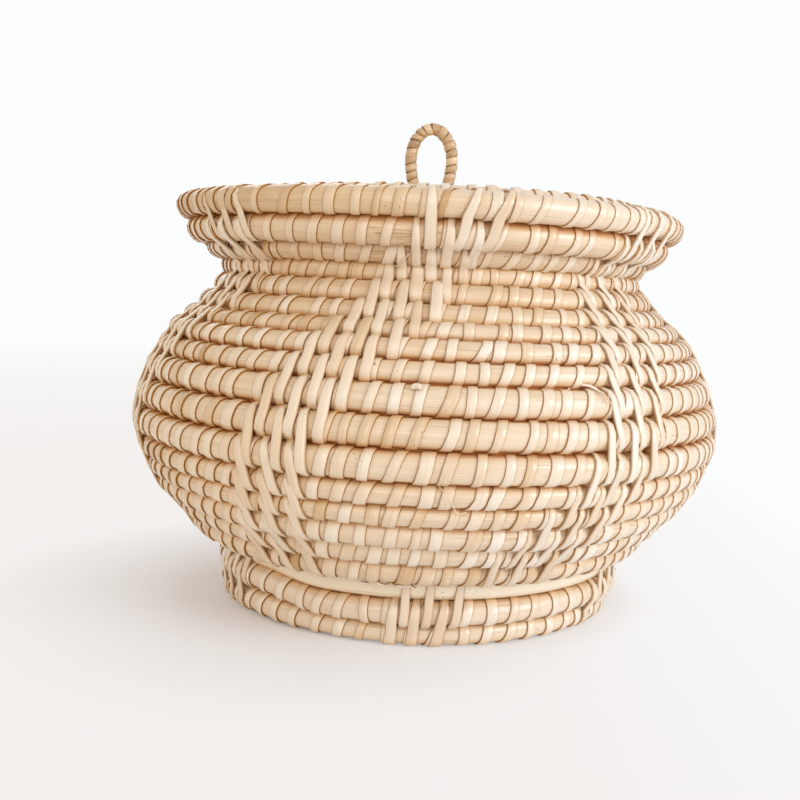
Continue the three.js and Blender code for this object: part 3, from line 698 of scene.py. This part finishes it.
def cane_look(name, stops, edge_and_shadow_colour, fibre_depth, roughness, streak_share, hair_share):
    """Material of split or peeled cane, and its slot: tones, fibres, stains, specks, painted crevice shade, cut
    edges partly painted as shadow lines, painted light and shade by side, and painted warm shade.
    """
    material = bpy.data.materials.new(name)
    node = node_tools(material)
    grain = node("ShaderNodeAttribute", attribute_name="grain").outputs["Vector"]
    tone, cut_edge_shadow, dust = (
        node("ShaderNodeAttribute", attribute_name=label).outputs["Fac"] for label in ("tone", "cut_edge_shadow", "dust")
    )
    place = node("ShaderNodeSeparateXYZ", {0: node("ShaderNodeTexCoord").outputs["Object"]}).outputs["X"]

    def times(a, b):
        return math_node(node, "MULTIPLY", a, b)

    def shown(noise, shows):
        return range_of(node, noise, *shows)

    def marks(cells, shows):
        return shown(streaks(node, grain, *cells), shows)

    # Painted light and shade by side: paler towards the lit right, more golden towards the shaded left
    painted_light = shown(place, PAINTED_LIGHT_SIDE)
    fibres = streaks(node, grain, *FIBRES)
    patches = streaks(node, grain, *PATCHES)
    fine = streaks(node, grain, *FINE_FIBRES)
    lifted = math_node(node, "MULTIPLY_ADD", fibres, FIBRE_TONE, -FIBRE_TONE / 2)
    patched = math_node(node, "MULTIPLY_ADD", patches, PATCH_TONE, -PATCH_TONE / 2)
    toned = math_node(node, "ADD", math_node(node, "ADD", tone, lifted), patched)
    lit_tone = math_node(node, "MULTIPLY_ADD", painted_light, PAINTED_LIGHT_GAIN, toned)
    base = mixed(node, shown(place, PAINTED_SHADE_SIDE), ramp(node, lit_tone, stops), PAINTED_SHADE_GOLD, "MULTIPLY")

    stained = times(shown(patches, STAINED_PATCHES), shown(fibres, STAINED_FIBRES))
    streaked = mixed(node, times(stained, streak_share), base, OLIVE_STREAK)
    dots = times(marks(*DOTS), marks(*DOTTED_AREAS))
    specked = mixed(node, times(dots, DOT_SHARE), streaked, DOT_BROWN)
    hairs = times(marks(*HAIRS), marks(*FRAYED_AREAS))
    lined = mixed(node, times(hairs, hair_share), specked, edge_and_shadow_colour)

    # Cut edges: their own brown and a painted shadow line
    cut_and_shadow = times(cut_edge_shadow, math_node(node, "MULTIPLY_ADD", painted_light, PAINTED_LIGHT_EDGE, 1.0))
    # Painted shade: where rows meet, the colour is mixed towards a warm brown
    worn = mixed(node, cut_and_shadow, mixed(node, dust, lined, CREVICE_SHADE_BROWN), edge_and_shadow_colour)
    # Painted shade from nearby occlusion, multiplied into the colour
    near = node("ShaderNodeAmbientOcclusion", {"Distance": SHADE_REACH}, samples=SHADE_SAMPLES)
    coloured = mixed(node, shown(near.outputs["AO"], SHADE_SHOWS), worn, WARM_SHADE, "MULTIPLY")

    clean = math_node(node, "SUBTRACT", 1.0, math_node(node, "MAXIMUM", cut_and_shadow, dust), clamp=True)
    height = math_node(node, "MULTIPLY_ADD", fine, FINE_RELIEF, fibres)
    bump = node("ShaderNodeBump", {"Height": height, "Strength": fibre_depth, "Distance": RELIEF_DEPTH})
    shader = node("ShaderNodeBsdfPrincipled", {
        "Base Color": coloured,
        "Roughness": range_of(node, fine, 0.0, 1.0, roughness - SMOOTHER, roughness + ROUGHER),
        "Normal": bump.outputs["Normal"],
        "Specular IOR Level": times(clean, SPECULAR),
        "Coat Weight": times(clean, COAT),
        "Coat Roughness": COAT_ROUGHNESS,
    })
    node("ShaderNodeOutputMaterial", {"Surface": shader.outputs["BSDF"]})
    return material, name


# Looks: depth of the fibres, roughness, and shares of streaks and of hairs
rod_look = cane_look("rattan_rod", ROD_STOPS, EDGE_AND_SHADOW_BROWN, 0.35, 0.40, 0.8, 0.45)
strip_look = cane_look("cane_strip", STRIP_STOPS, EDGE_AND_SHADOW_BROWN, 0.2, 0.32, 0.45, 0.2)
bare_look = cane_look("bare_rod", BARE_STOPS, EDGE_AND_SHADOW_BROWN, 0.15, 0.34, 0.25, 0.2)
handle_look = cane_look("handle_cane", HANDLE_STOPS, HANDLE_EDGE_AND_SHADOW, 0.3, 0.45, 0.5, 0.3)


# Wall: each rod of the coil with its wraps

# Each rod's tone, then its strips: tone, wraps in a turn, width and thickness, and the painted shade between
# rows
ROD_LOOKS = {
    "rim_rod": (None, None, 84.0, 2.7, 0.42, 0.7),
    "throat_rod": (0.42, 0.43, 68.5, 3.1, 0.46, 1.0),
    "shoulder_rod": (0.50, 0.50, 80.5, 3.2, 0.50, 1.0),
    "belly_rod": (0.54, 0.50, 88.5, 3.3, 0.56, 1.0),
    "tuck_rod": (0.52, 0.53, 86.5, 3.8, 0.56, 0.6),
    "lower_rod": (0.55, 0.56, 78.5, 3.9, 0.56, 0.4),
    "base_rod": (0.50, 0.52, None, 3.3, 0.50, 0.6),
}
SEED_STEP = 11.0
SPLICE_CLEARANCE = 0.01
WALL_JITTER = 0.14
WALL_LEAN = 0.85
BASE_WRAP_PITCH = 7.2
BASE_JITTER = 0.08
END_CLEARANCE = 3.0

# The rim: wraps at its tip, tones by degrees to the right, painted darker at the left as shade and paler at the
# right as light, and bare stretches
RIM_LEAN = 0.9
RIM_JITTER = 0.0012
RIM_TIP_WRAPS = np.arange(0.366, 0.402, 0.0062)
RIM_TIP_GAP = 0.007
RIM_SHADE_DEGREES = (-180, -110, -55, -15, 10, 42, 110, 180)
RIM_SHADE_TONES = (0.44, 0.32, 0.15, 0.37, 0.46, 0.62, 0.56, 0.44)
RIM_BARE = ((2.5, 8.0), (-33.0, -29.5), (22.0, 25.0))


def make_core(name, look, body, rod, *nodes, **values):
    core = Piece()
    add_core(core, rod, **values)
    core.make(name, look, body, *nodes)


def make_wraps(name, look, body, rod, places, *nodes, **values):
    wraps = Piece()
    add_wraps(wraps, rod, places, **values)
    wraps.make(name, look, body, *nodes)


def rim_light_and_shade(turns):
    """Painted light and shade: the rim is darker at the left, where shade falls, and paler at the right, where
    light falls.
    """
    return np.interp(signed_degrees(turns * 360), RIM_SHADE_DEGREES, RIM_SHADE_TONES)


def rim_wraps(turns):
    """Wraps of the rim, less even, close at its tip and with bare stretches."""
    turns = np.sort(turns + rng.normal(0, RIM_JITTER, len(turns)))
    turns = np.concatenate([RIM_TIP_WRAPS, turns[turns > RIM_TIP_WRAPS[-1] + RIM_TIP_GAP]])
    for low, high in RIM_BARE:
        degrees = signed_degrees(turns * 360)
        turns = turns[(degrees < low) | (degrees > high)]
    return turns


start = COIL_START
for row, (name, _, end) in enumerate(COIL_RODS):
    end = end or coil_end
    rod = coil_rod(start, end)
    rod_tone, wrap_tone, per_turn, width, thickness, dust = ROD_LOOKS[name]
    at_rim = name == "rim_rod"
    # The rim's tones are painted shade at the left and painted light at the right
    if at_rim:
        rod_tone = rim_light_and_shade(rod.marks)[:, None]
    # Painted crevice shade, which on the rim's rod is only on its lower side
    dusty = {"dust": dust, "above": 0.0 if at_rim else 1.0}
    make_core(name + "_core", rod_look, "basket", rod, name, tone=rod_tone, seed=SEED_STEP * row, **dusty)
    if per_turn:
        turns = spaced(start + SPLICE_CLEARANCE, end - SPLICE_CLEARANCE, 1 / per_turn, WALL_JITTER)
    else:
        places = spaced(END_CLEARANCE, rod.total - END_CLEARANCE, BASE_WRAP_PITCH, BASE_JITTER)
        turns = np.interp(places, rod.lengths, rod.marks)
    if at_rim:
        turns = rim_wraps(turns)
        wrap_tone = rim_light_and_shade(turns)
    lean = RIM_LEAN if at_rim else WALL_LEAN
    strip = {"width": width, "lean": lean, "thickness": thickness, "tone": wrap_tone}
    places = np.interp(turns, rod.marks, rod.lengths)
    make_wraps(name + "_wraps", strip_look, "basket", rod, places, **strip, **dusty)
    start = end


# Dark filler that lies deep between each row and the next: painted shade that closes the crevice

SHADE_FILLER_RADIUS = 1.2
SHADE_FILLER_INSET = 0.9
SHADE_FILLER_STEPS = 120
SHADE_FILLER_TONE = 0.2
SHADE_FILLER_DARKENING = 0.85

shade_filler_turns = np.linspace(COIL_START + RIM_TAPER, coil_end - 1, int((coil_end - 1) * SHADE_FILLER_STEPS))
row_over = coil(shade_filler_turns)
row_under = coil(shade_filler_turns + 1)
share = rod_diameter(shade_filler_turns) / (rod_diameter(shade_filler_turns) + rod_diameter(shade_filler_turns + 1))
facing = unit(row_over[2] + row_under[2])
along = unit(row_over[3] + row_under[3])
between = [(1 - share) * row_over[k] + share * row_under[k] - SHADE_FILLER_INSET * facing[:, k] for k in (0, 1)]
shade_filler_rod = wall_rod(*between, facing, along, SHADE_FILLER_RADIUS, shade_filler_turns)
shade_filler = {"tone": SHADE_FILLER_TONE, "sides": THREAD_SIDES}
make_core("row_shade_filler", strip_look, "basket", shade_filler_rod, seed=150.0, stain=SHADE_FILLER_DARKENING, **shade_filler)


# Loops of strand round two neighbouring rods: which rod, and degrees round it

OUTSIDE = [(0, -98), (0, -68), (0, -38), (0, -8), (0, 20), (1, -20), (1, 8), (1, 38), (1, 68), (1, 98)]
INSIDE = [(1, 128), (1, 158), (1, 188), (0, 172), (0, 202), (0, 232)]
LOOP_STATIONS = OUTSIDE + INSIDE
LOOP_SHARES = np.concatenate([np.linspace(0, 1, len(OUTSIDE)), np.linspace(0.9, 0.1, len(INSIDE))])
# A strand is narrow where it comes out above, and widest low down
STRAND_PLACES = (0.0, 0.12, 0.36, 0.75, 0.9, 1.0)
STRAND_SHARES = (0.52, 0.68, 0.95, 1.07, 1.02, 0.85)


def coil_section(turn, sink=STITCH_SINK):
    radius, height, out, down = coil(turn)
    return radius, height, out, down, rod_diameter(turn) / 2 - sink, PRESSED_POWER


def hoop_section(hoop, azimuth, sink):
    radius, height, diameter = hoop_at(hoop, azimuth)
    return radius, height, np.array([1.0, 0.0]), np.array([0.0, -1.0]), diameter / 2 - sink, ROUND_POWER


def on_section(section, angle, azimuth, lift=0.0):
    """Point at an angle round a rod, in degrees, and the direction out of the rod there."""
    radius, height, out, down, reach, power = section
    angle = math.radians(angle)
    reach = reach * swell(angle, power) + lift
    toward = math.cos(angle) * out + math.sin(angle) * down
    point = polar(radius + reach * toward[0], azimuth, height + reach * toward[1])
    return point, polar(toward[0], azimuth, toward[1])


def add_loop(piece, sections, azimuth_at, width, height):
    """Closed strand over two rods. sections gives each rod's section at an azimuth, azimuth_at the drift."""
    places = []
    for (which, angle), share in zip(LOOP_STATIONS, LOOP_SHARES):
        azimuth = azimuth_at(share)
        places.append(on_section(sections[which](azimuth), angle, azimuth))
    path, normals = np.swapaxes(places, 0, 1)
    widths = width * np.interp(LOOP_SHARES, STRAND_PLACES, STRAND_SHARES)
    tone = rng.normal(STRAND_TONE, STRAND_TONE_SPREAD)
    seed = rng.uniform(0, MOST_SEED)
    add_ribbon(piece, path, unit(normals), widths, height, tone, seed, STRAND_SECTION, True)


def lacing_azimuth(marks, row):
    """Azimuth at which a column crosses a row, in radians."""
    turn = row
    for _ in range(CROSSING_TRIES):
        turn = row + np.interp(turn, LACING_TURNS, marks) / 360
    return (turn - row) * TURN


def add_wall_group(piece, marks, row, strand_width, strands=None):
    """Three strands over two rows. Each next group lies one strand further left on the row they share."""
    here = lacing_azimuth(marks, row)
    below = lacing_azimuth(marks, row + 1)
    radius = coil(row + here / TURN)[0]
    lean = 2 * ((below - here) * radius + STITCH_OFFSET)
    even = []
    for side in (-1, 0, 1):
        middle = side * STITCH_SPACING + rng.normal(0, STITCH_SPREAD)
        even.append((middle, lean + rng.normal(0, STITCH_SPREAD)))
    at_back_rim = row == 0
    sink = BACK_RIM_SINK if at_back_rim else STITCH_SINK
    height = STITCH_HEIGHT * (BACK_RIM_PRESS if at_back_rim else 1)
    sections = [lambda azimuth: coil_section(row + azimuth / TURN, sink),
                lambda azimuth: coil_section(row + 1 + azimuth / TURN)]
    for middle, tilt in strands or even:

        def azimuth_at(share):
            return here + (middle + tilt * (share - STITCH_PIVOT)) / radius

        width = strand_width * (1 + rng.normal(0, STRAND_WIDTH_SPREAD))
        add_loop(piece, sections, azimuth_at, width, height)


for column, (marks, strand_width) in enumerate(zip(WALL_LACINGS, STRAND_WIDTHS), 1):
    stitches = Piece()
    row = math.ceil(COIL_START + RIM_TAPER - marks[0] / 360)
    while row + 1 + lacing_azimuth(marks, row + 1) / TURN < LACING_END:
        strands = FRONT_RIM_STRANDS if column == row == 1 else None
        add_wall_group(stitches, marks, row, strand_width, strands)
        row += 1
    stitches.make(f"wall_stitches_{column}", strip_look, "basket", f"wall_lacing_{column}")


# Loose fibres, cut ends and broken skin: row, degrees to the right, degrees round the rod and lift

LOOSE_FIBRES = [
    [(3, -5.0, -10, 0.3), (3, -6.5, 30, 1.6), (4, -8.0, -60, 1.8), (4, -9.0, -20, 0.4)],
    [(3, -3.5, -40, 0.2), (3, -5.6, 0, 1.2), (3, -7.5, 35, 0.8), (4, -9.5, -70, 0.3)],
    [(13, 2.6, -80, 0.6), (13, 4.5, -20, 1.5), (13, 6.0, 40, 1.3), (14, 7.6, -60, 0.5)],
    [(10, 30.2, -30, 0.3), (10, 30.9, -8, 0.8), (10, 31.6, 10, 0.9)],
    [(10, 31.8, -35, 0.4), (10, 31.1, -12, 0.8), (10, 30.4, 5, 0.8)],
]
FIBRE_RADIUS = 0.16
FIBRE_STEPS = 6
LOOSE_TONE = 0.6
# Cut ends of strips also give their width
CUT_ENDS = [
    (0.8, [(9, 24.6, 85, 0.5), (10, 26.5, -80, 1.2), (10, 28.8, -62, 1.0), (10, 30.6, -20, 0.6)]),
    (1.7, [(10, -2.0, -30, 0.1), (10, -1.4, -34, 0.7), (10, -0.8, -30, 1.2), (10, -0.3, -22, 0.9)]),
    (1.1, [(17, -8.0, 5, 0.4), (17, -6.9, 42, 0.9), (17, -5.4, 64, 1.3), (17, -4.2, 38, 0.8)]),
    (1.0, [(17, -4.4, 12, 0.5), (17, -3.0, 48, 1.0), (17, -1.4, 62, 1.4), (17, 0.0, 34, 0.7)]),
    (0.9, [(17, -11.5, 18, 0.4), (17, -10.6, 50, 0.9), (17, -9.4, 66, 1.0), (17, -8.2, 50, 0.5)]),
]
CUT_END_HEIGHT = 0.4
CUT_END_TONE = 0.7
# Broken skin: its row and the degrees that it covers, and the limits of its shreds
BROKEN_SKIN = [(2, -12.5, 1.0), (3, -14.0, -1.0)]
SKIN_SHREDS = 16
SHRED_ANGLES = (-50, 40)
SHRED_HALVES = (1.0, 3.2)
SHRED_SLANT = 3.0
SHRED_WIDTHS = (0.25, 0.6)
SHRED_HEIGHT = 0.14
SHRED_TONES = (-0.1, 0.3)
SHRED_STEPS = 5
SHRED_TAPER_STEPS = 3
SHRED_TIP = 0.3


def over_wall(places, steps):
    """Path through places on the wall, the directions out of the basket square to it, and its heading."""
    spots = []
    for row, degrees, angle, lift in places:
        section = coil_section(row + degrees / 360, sink=0.0)
        spots.append(on_section(section, angle, math.radians(degrees), lift)[0])
    path = through(spots, steps)
    heading = unit(np.gradient(path, axis=0))
    radial = unit(path * (1.0, 1.0, 0.0))
    return path, unit(radial - heading * np.sum(radial * heading, -1, keepdims=True)), heading


def add_shred(piece, places, width, height, tone):
    path, outs, _ = over_wall(places, SHRED_STEPS)
    steps = np.arange(len(path))
    taper = np.clip(np.minimum(steps, steps[::-1]) / SHRED_TAPER_STEPS, SHRED_TIP, 1)
    seed = rng.uniform(0, MOST_SEED)
    add_ribbon(piece, path, -outs, width * taper, -height, tone, seed, STRIP_SECTION, False)


loose = Piece()
for places in LOOSE_FIBRES:
    fibre_path, outs, heading = over_wall(places, FIBRE_STEPS)
    fibre = Rod(fibre_path, outs, np.cross(heading, outs), FIBRE_RADIUS)
    seed = rng.uniform(0, MOST_SEED)
    add_core(loose, fibre, tone=LOOSE_TONE, seed=seed, sides=THREAD_SIDES, dust=0.0)
for width, places in CUT_ENDS:
    add_shred(loose, places, width, CUT_END_HEIGHT, CUT_END_TONE)
for row, first, last in BROKEN_SKIN:
    for _ in range(SKIN_SHREDS):
        middle = rng.uniform(first, last)
        angle = rng.uniform(*SHRED_ANGLES)
        half = rng.uniform(*SHRED_HALVES)
        slant = rng.normal(0, SHRED_SLANT)
        spots = [(row, middle + share * half, angle + share * slant, -CORE_SHRINK) for share in (-1, 0, 1)]
        add_shred(loose, spots, rng.uniform(*SHRED_WIDTHS), SHRED_HEIGHT, rng.uniform(*SHRED_TONES))
loose.make("loose_fibres", strip_look, "basket")


# Foot: a bare hoop over two wrapped ones, tied in two tiers

HOOP_LEAN = 0.55
HOOP_JITTER = 0.1


def make_hoop(name, hoop, body, seed, pitch=None, width=STRIP_WIDTH, tone=0.5, dust=0.0):
    """Hoop with wraps at a pitch, or a bare one where there is no pitch."""
    look, shrink = (rod_look, WRAP_SHRINK) if pitch else (bare_look, 0.0)
    azimuth = np.linspace(-0.5, 0.5, RING_STEPS + 1) * TURN
    radius, height, diameter = hoop_at(hoop, azimuth)
    rod = level_rod(radius, azimuth, height, diameter / 2 - shrink, closed=True)
    make_core(name + "_core", look, body, rod, name, tone=tone, seed=seed, dust=dust)
    if pitch:
        places = spaced(0.0, rod.total, pitch, HOOP_JITTER)
        strip = {"width": width, "lean": HOOP_LEAN, "tone": tone, "dust": dust}
        make_wraps(name + "_wraps", strip_look, body, rod, places, **strip)


def add_ties(piece, upper, lower, centre, width, spacing, height=STITCH_HEIGHT, sink=STITCH_SINK):
    """Three strands that tie two hoops together."""
    sections = [lambda azimuth: hoop_section(upper, azimuth, sink),
                lambda azimuth: hoop_section(lower, azimuth, sink)]
    for side in (-1, 0, 1):
        middle = side * spacing + rng.normal(0, TIE_SPREAD)
        tilt = rng.normal(TIE_TILT, TIE_TILT_SPREAD)

        def azimuth_at(share):
            return centre + (middle + tilt * (share - 0.5)) / upper[0]

        add_loop(piece, sections, azimuth_at, width, height)


make_hoop("foot_bare_hoop", BARE_HOOP, "basket", 201.0)
make_hoop("foot_upper_hoop", UPPER_HOOP, "basket", 212.0, *FOOT_WRAPS)
make_hoop("foot_lower_hoop", LOWER_HOOP, "basket", 223.0, *FOOT_WRAPS)

for group in range(FOOT_TIES):
    centre = group * TURN / FOOT_TIES
    ties = Piece()
    add_ties(ties, BARE_HOOP, UPPER_HOOP, centre + TIE_STAGGER / BARE_HOOP[0], UPPER_TIE_WIDTH, TIE_SPACING)
    add_ties(ties, UPPER_HOOP, LOWER_HOOP, centre, LOWER_TIE_WIDTH, TIE_SPACING)
    ties.make(f"foot_ties_{group + 1}", strip_look, "basket", f"foot_lacing_{group + 1}")


# Lid: edge ring, seat ring and a flat coil

make_hoop("lid_edge_ring", EDGE_RING, "lid", 300.0, EDGE_WRAP_PITCH)
make_hoop("lid_seat_ring", SEAT_RING, "lid", 311.0, SEAT_WRAP_PITCH)

turns = np.arange(-LID_STEP, LID_TURNS, 1 / LID_STEPS)
lap = np.floor(turns + LID_STEP)
stepped = eased(np.clip((turns + LID_STEP - lap) / LID_STEP, 0, 1))
thinned = np.clip((LID_TURNS - turns) / LID_END_TAPER, LID_TIP, 1.0)
tip = np.where(turns < 0, np.maximum(stepped, LID_FIRST_TIP), thinned)
laps = np.where(turns < 0, 0.0, lap - 1 + stepped)
full = LID_ROD / 2 - WRAP_SHRINK
lid_radius = LID_COIL_RADIUS - LID_ROD * laps + full * (1 - tip)
lid_rod = level_rod(lid_radius, (turns + LID_START) * TURN, EDGE_RING[1], full * tip)
make_core("lid_coil_core", rod_look, "lid", lid_rod, "lid_coil", seed=333.0, dust=0.0)
lid_places = spaced(END_CLEARANCE, lid_rod.total - END_CLEARANCE, LID_WRAP_PITCH, HOOP_JITTER)
make_wraps("lid_coil_wraps", strip_look, "lid", lid_rod, lid_places, lean=HOOP_LEAN, dust=0.0)

# Dark filler in the seams of the lid's coil, from its edge ring in: painted shade in the seams
seam_turns = np.arange(-1.0, LID_TURNS - 1, 1 / LID_STEPS)
edge_side = EDGE_RING[0] - (EDGE_RING[2] - LID_ROD) / 2
outer_lap = np.where(seam_turns < 0, edge_side, np.interp(seam_turns, turns, lid_radius))
inner_lap = np.where(seam_turns < 0, LID_COIL_RADIUS, np.interp(seam_turns + 1, turns, lid_radius))
seam_azimuth = (seam_turns + LID_START) * TURN
seam_height = EDGE_RING[1] - LID_SHADE_FILLER_DROP
seam_rod = level_rod((outer_lap + inner_lap) / 2, seam_azimuth, seam_height, SHADE_FILLER_RADIUS)
make_core("lid_seam_shade_filler", strip_look, "lid", seam_rod, seed=160.0, dust=0.0, **shade_filler)

for group in range(LID_TIES):
    centre = (group + 0.5) * TURN / LID_TIES
    ties = Piece()
    add_ties(ties, EDGE_RING, SEAT_RING, centre, *LID_TIE)
    ties.make(f"lid_ties_{group + 1}", strip_look, "lid", f"lid_lacing_{group + 1}")


# Middles of the lid and of the base: a thin cane wound in to the centre

def make_knot(name, body, outer, level, seed):
    """Flat spiral of thin cane from an outer radius in to the centre."""
    knot_turns = np.arange(0, outer / KNOT_STEP - KNOT_SHORT, 1 / KNOT_STEPS)
    reach = outer - KNOT_STEP * knot_turns
    rise = KNOT_DOME * (1 - reach / outer)
    rod = level_rod(reach, knot_turns * TURN, level + rise, KNOT_CANE / 2)
    knot = Piece()
    add_core(knot, rod, tone=KNOT_TONE, seed=seed, sides=THIN_SIDES, dust=0.0)
    places = spaced(KNOT_CLEARANCE, rod.total - KNOT_CLEARANCE, KNOT_WRAP_PITCH, HOOP_JITTER)
    add_wraps(knot, rod, places, KNOT_WRAP_WIDTH, thickness=KNOT_WRAP_THICKNESS, dust=0.0)
    knot.make(name, strip_look, body)


make_knot("lid_knot", "lid", LID_KNOT_RADIUS, EDGE_RING[1] + LID_KNOT_RISE, 350.0)
make_knot("base_knot", "basket", BASE_KNOT_RADIUS, FLOOR_MIDDLE[1] + BASE_KNOT_RISE, 360.0)


# Handle: a loop of thin core, wrapped close

def handle_half():
    """Right half of the loop, from its clinched end to the top: across and height."""
    points = [(HANDLE_SPREAD + across, HANDLE_CLINCH_HEIGHT + rise) for across, rise in HANDLE_BENDS]
    for step in range(HANDLE_SIDE_STEPS):
        share = step / HANDLE_SIDE_STEPS
        across = HANDLE_SPREAD + (HANDLE_HALF_WIDTH - HANDLE_SPREAD) * math.sin(share * math.pi / 2)
        points.append((across, HANDLE_FOOT + share * HANDLE_WIDEST_RISE))
    widest = HANDLE_FOOT + HANDLE_WIDEST_RISE
    for step in range(HANDLE_ARCH_STEPS + 1):
        angle = step / HANDLE_ARCH_STEPS * math.pi / 2
        points.append((HANDLE_HALF_WIDTH * math.cos(angle), widest + HANDLE_ARCH_RISE * math.sin(angle)))
    return points


right_half = handle_half()
left_half = [(-across, level) for across, level in reversed(right_half[:-1])]
flat_path = through(right_half + left_half, HANDLE_CURVE_STEPS)
handle_across = flat_path[:, 0] + HANDLE_SHIFT
handle_centres = np.column_stack([handle_across, np.zeros(len(flat_path)), flat_path[:, 1]])
handle_heading = unit(np.gradient(handle_centres, axis=0))
front = np.array([0.0, -1.0, 0.0])
handle_rod = Rod(handle_centres, front, unit(np.cross(front, handle_heading)), HANDLE_CORE)
make_core("handle_loop_core", handle_look, "lid", handle_rod, "handle_core", tone=HANDLE_TONE, seed=401.0,
          sides=THIN_SIDES, dust=0.0)
above_lid = handle_rod.lengths[flat_path[:, 1] > HANDLE_FOOT - HANDLE_CURL_DROP]
curl_pitch = (above_lid[-1] - above_lid[0]) / HANDLE_CURLS
curl_places = spaced(above_lid[0], above_lid[-1], curl_pitch, HANDLE_JITTER)
make_wraps("handle_loop_wrap", handle_look, "lid", handle_rod, curl_places, "handle_wrap",
           width=HANDLE_WRAP_WIDTH, thickness=HANDLE_WRAP, dust=0.0, stripe=HANDLE_STRIPE)


# Camera

def stand(data, across, over, back, place):
    """Puts a camera or a lamp in place. It looks against its back direction."""
    stood = bpy.data.objects.new(data.name, data)
    bpy.context.scene.collection.objects.link(stood)
    rows = [[across[k], over[k], back[k], place[k]] for k in range(3)]
    stood.matrix_world = Matrix(rows + [[0.0, 0.0, 0.0, 1.0]])
    return stood


right = np.array([math.cos(CAMERA_YAW), -math.sin(CAMERA_YAW), 0.0])
level = np.array([math.sin(CAMERA_YAW), math.cos(CAMERA_YAW), 0.0])
upright = np.array([0.0, 0.0, 1.0])
forward = math.cos(CAMERA_PITCH) * level - math.sin(CAMERA_PITCH) * upright
up = math.sin(CAMERA_PITCH) * level + math.cos(CAMERA_PITCH) * upright
camera_x = math.cos(CAMERA_ROLL) * right + math.sin(CAMERA_ROLL) * up
camera_y = -math.sin(CAMERA_ROLL) * right + math.cos(CAMERA_ROLL) * up
camera_data = bpy.data.cameras.new("camera")
camera_data.lens = CAMERA_LENS
camera_data.sensor_width = CAMERA_SENSOR
camera_data.clip_start = CAMERA_NEAR * MM
bpy.context.scene.camera = stand(camera_data, camera_x, camera_y, -forward, np.array(CAMERA_PLACE) * MM)


# Floor, background and light, in metres

FLOOR_RADIUS = 3.0
FLOOR_SIDES = 96
FLOOR_ROUGHNESS = 0.8
FLOOR_ALBEDO = colour(245, 247, 252)
FLOOR_NEAR = colour(243, 240, 238)
BACKDROP = colour(252, 253, 254)
# The shadow lies to the left of the foot, and the floor is lightest at the right and far off
SHADOW_MIDDLE = (-0.048, -0.022, 0.0)
SHADOW_REACH = (0.036, 0.117)
SHADOW_GLOW = (0.09, 1.0)
CONTACT_REACH = (0.068, 0.086)
CONTACT_GLOW = (0.35, 1.0)
LIT_SIDE = (0.04, 0.20)
FAR_OFF = (0.35, 1.4)
SURROUNDINGS = (1.0, 0.945, 0.88, 1.0)
WORLD_STRENGTH = 0.67
# Lamps: name, place, size, power and colour
LAMP_AIM = (0.0, 0.0, 0.08)
WHITE = (1.0, 1.0, 1.0)
LAMPS = [
    ("key", (0.95, -0.60, 0.42), 0.62, 6.3, (0.91, 0.965, 1.0)),
    ("side", (-1.10, -0.45, 0.45), 0.9, 0.9, WHITE),
    ("back", (-0.45, 1.20, 0.70), 0.9, 2.1, WHITE),
    ("fill", (-0.15, -1.25, 0.40), 0.9, 3.05, WHITE),
]


def plainly_seen(node):
    """1 on the rays that show a surface, 0 on those that only carry its light."""
    path = node("ShaderNodeLightPath")
    mirrored = math_node(node, "MAXIMUM", path.outputs["Is Glossy Ray"], path.outputs["Is Transmission Ray"])
    return math_node(node, "MAXIMUM", path.outputs["Is Camera Ray"], mirrored)


def make_floor():
    mesh = bpy.data.meshes.new("floor")
    ring = polar(FLOOR_RADIUS, np.arange(FLOOR_SIDES) * TURN / FLOOR_SIDES, 0.0)
    mesh.from_pydata(ring.tolist(), [], [list(range(FLOOR_SIDES))])
    floor = bpy.data.objects.new("floor", mesh)
    bpy.context.scene.collection.objects.link(floor)
    material = bpy.data.materials.new("floor")
    node = node_tools(material)
    place = node("ShaderNodeTexCoord").outputs["Object"]
    across = node("ShaderNodeSeparateXYZ", {0: place}).outputs["X"]
    distance = node("ShaderNodeVectorMath", {0: place}, operation="LENGTH").outputs["Value"]
    shaded = node("ShaderNodeVectorMath", {0: place, 1: SHADOW_MIDDLE}, operation="DISTANCE").outputs["Value"]
    beside = range_of(node, shaded, *SHADOW_REACH, *SHADOW_GLOW)
    around = range_of(node, distance, *CONTACT_REACH, *CONTACT_GLOW)
    plain = math_node(node, "MINIMUM", beside, around)
    factor = math_node(node, "MULTIPLY", plain, plainly_seen(node))
    matte = node("ShaderNodeBsdfPrincipled", {"Base Color": FLOOR_ALBEDO, "Roughness": FLOOR_ROUGHNESS})
    far = range_of(node, distance, *FAR_OFF)
    pale = math_node(node, "MAXIMUM", far, range_of(node, across, *LIT_SIDE))
    glow = node("ShaderNodeEmission", {"Color": mixed(node, pale, FLOOR_NEAR, BACKDROP), "Strength": 1.0})
    both = node("ShaderNodeMixShader", {0: factor, 1: matte.outputs["BSDF"], 2: glow.outputs["Emission"]})
    node("ShaderNodeOutputMaterial", {"Surface": both.outputs["Shader"]})
    mesh.materials.append(material)


def make_world():
    world = bpy.data.worlds.new("studio")
    bpy.context.scene.world = world
    node = node_tools(world)
    light = node("ShaderNodeBackground", {"Color": SURROUNDINGS, "Strength": WORLD_STRENGTH})
    backdrop = node("ShaderNodeBackground", {"Color": BACKDROP, "Strength": 1.0})
    both = node("ShaderNodeMixShader", {0: plainly_seen(node), 1: light.outputs[0], 2: backdrop.outputs[0]})
    node("ShaderNodeOutputWorld", {"Surface": both.outputs["Shader"]})


def make_lamp(name, place, size, power, tint):
    data = bpy.data.lights.new(name, "AREA")
    data.shape = "DISK"
    data.size = size
    data.energy = power
    data.color = tint
    back = unit(np.subtract(place, LAMP_AIM))
    side = unit(np.cross(upright, back))
    stand(data, side, np.cross(back, side), back, place)


make_floor()
make_world()
for lamp in LAMPS:
    make_lamp(*lamp)
bpy.context.scene.view_settings.view_transform = "Standard"
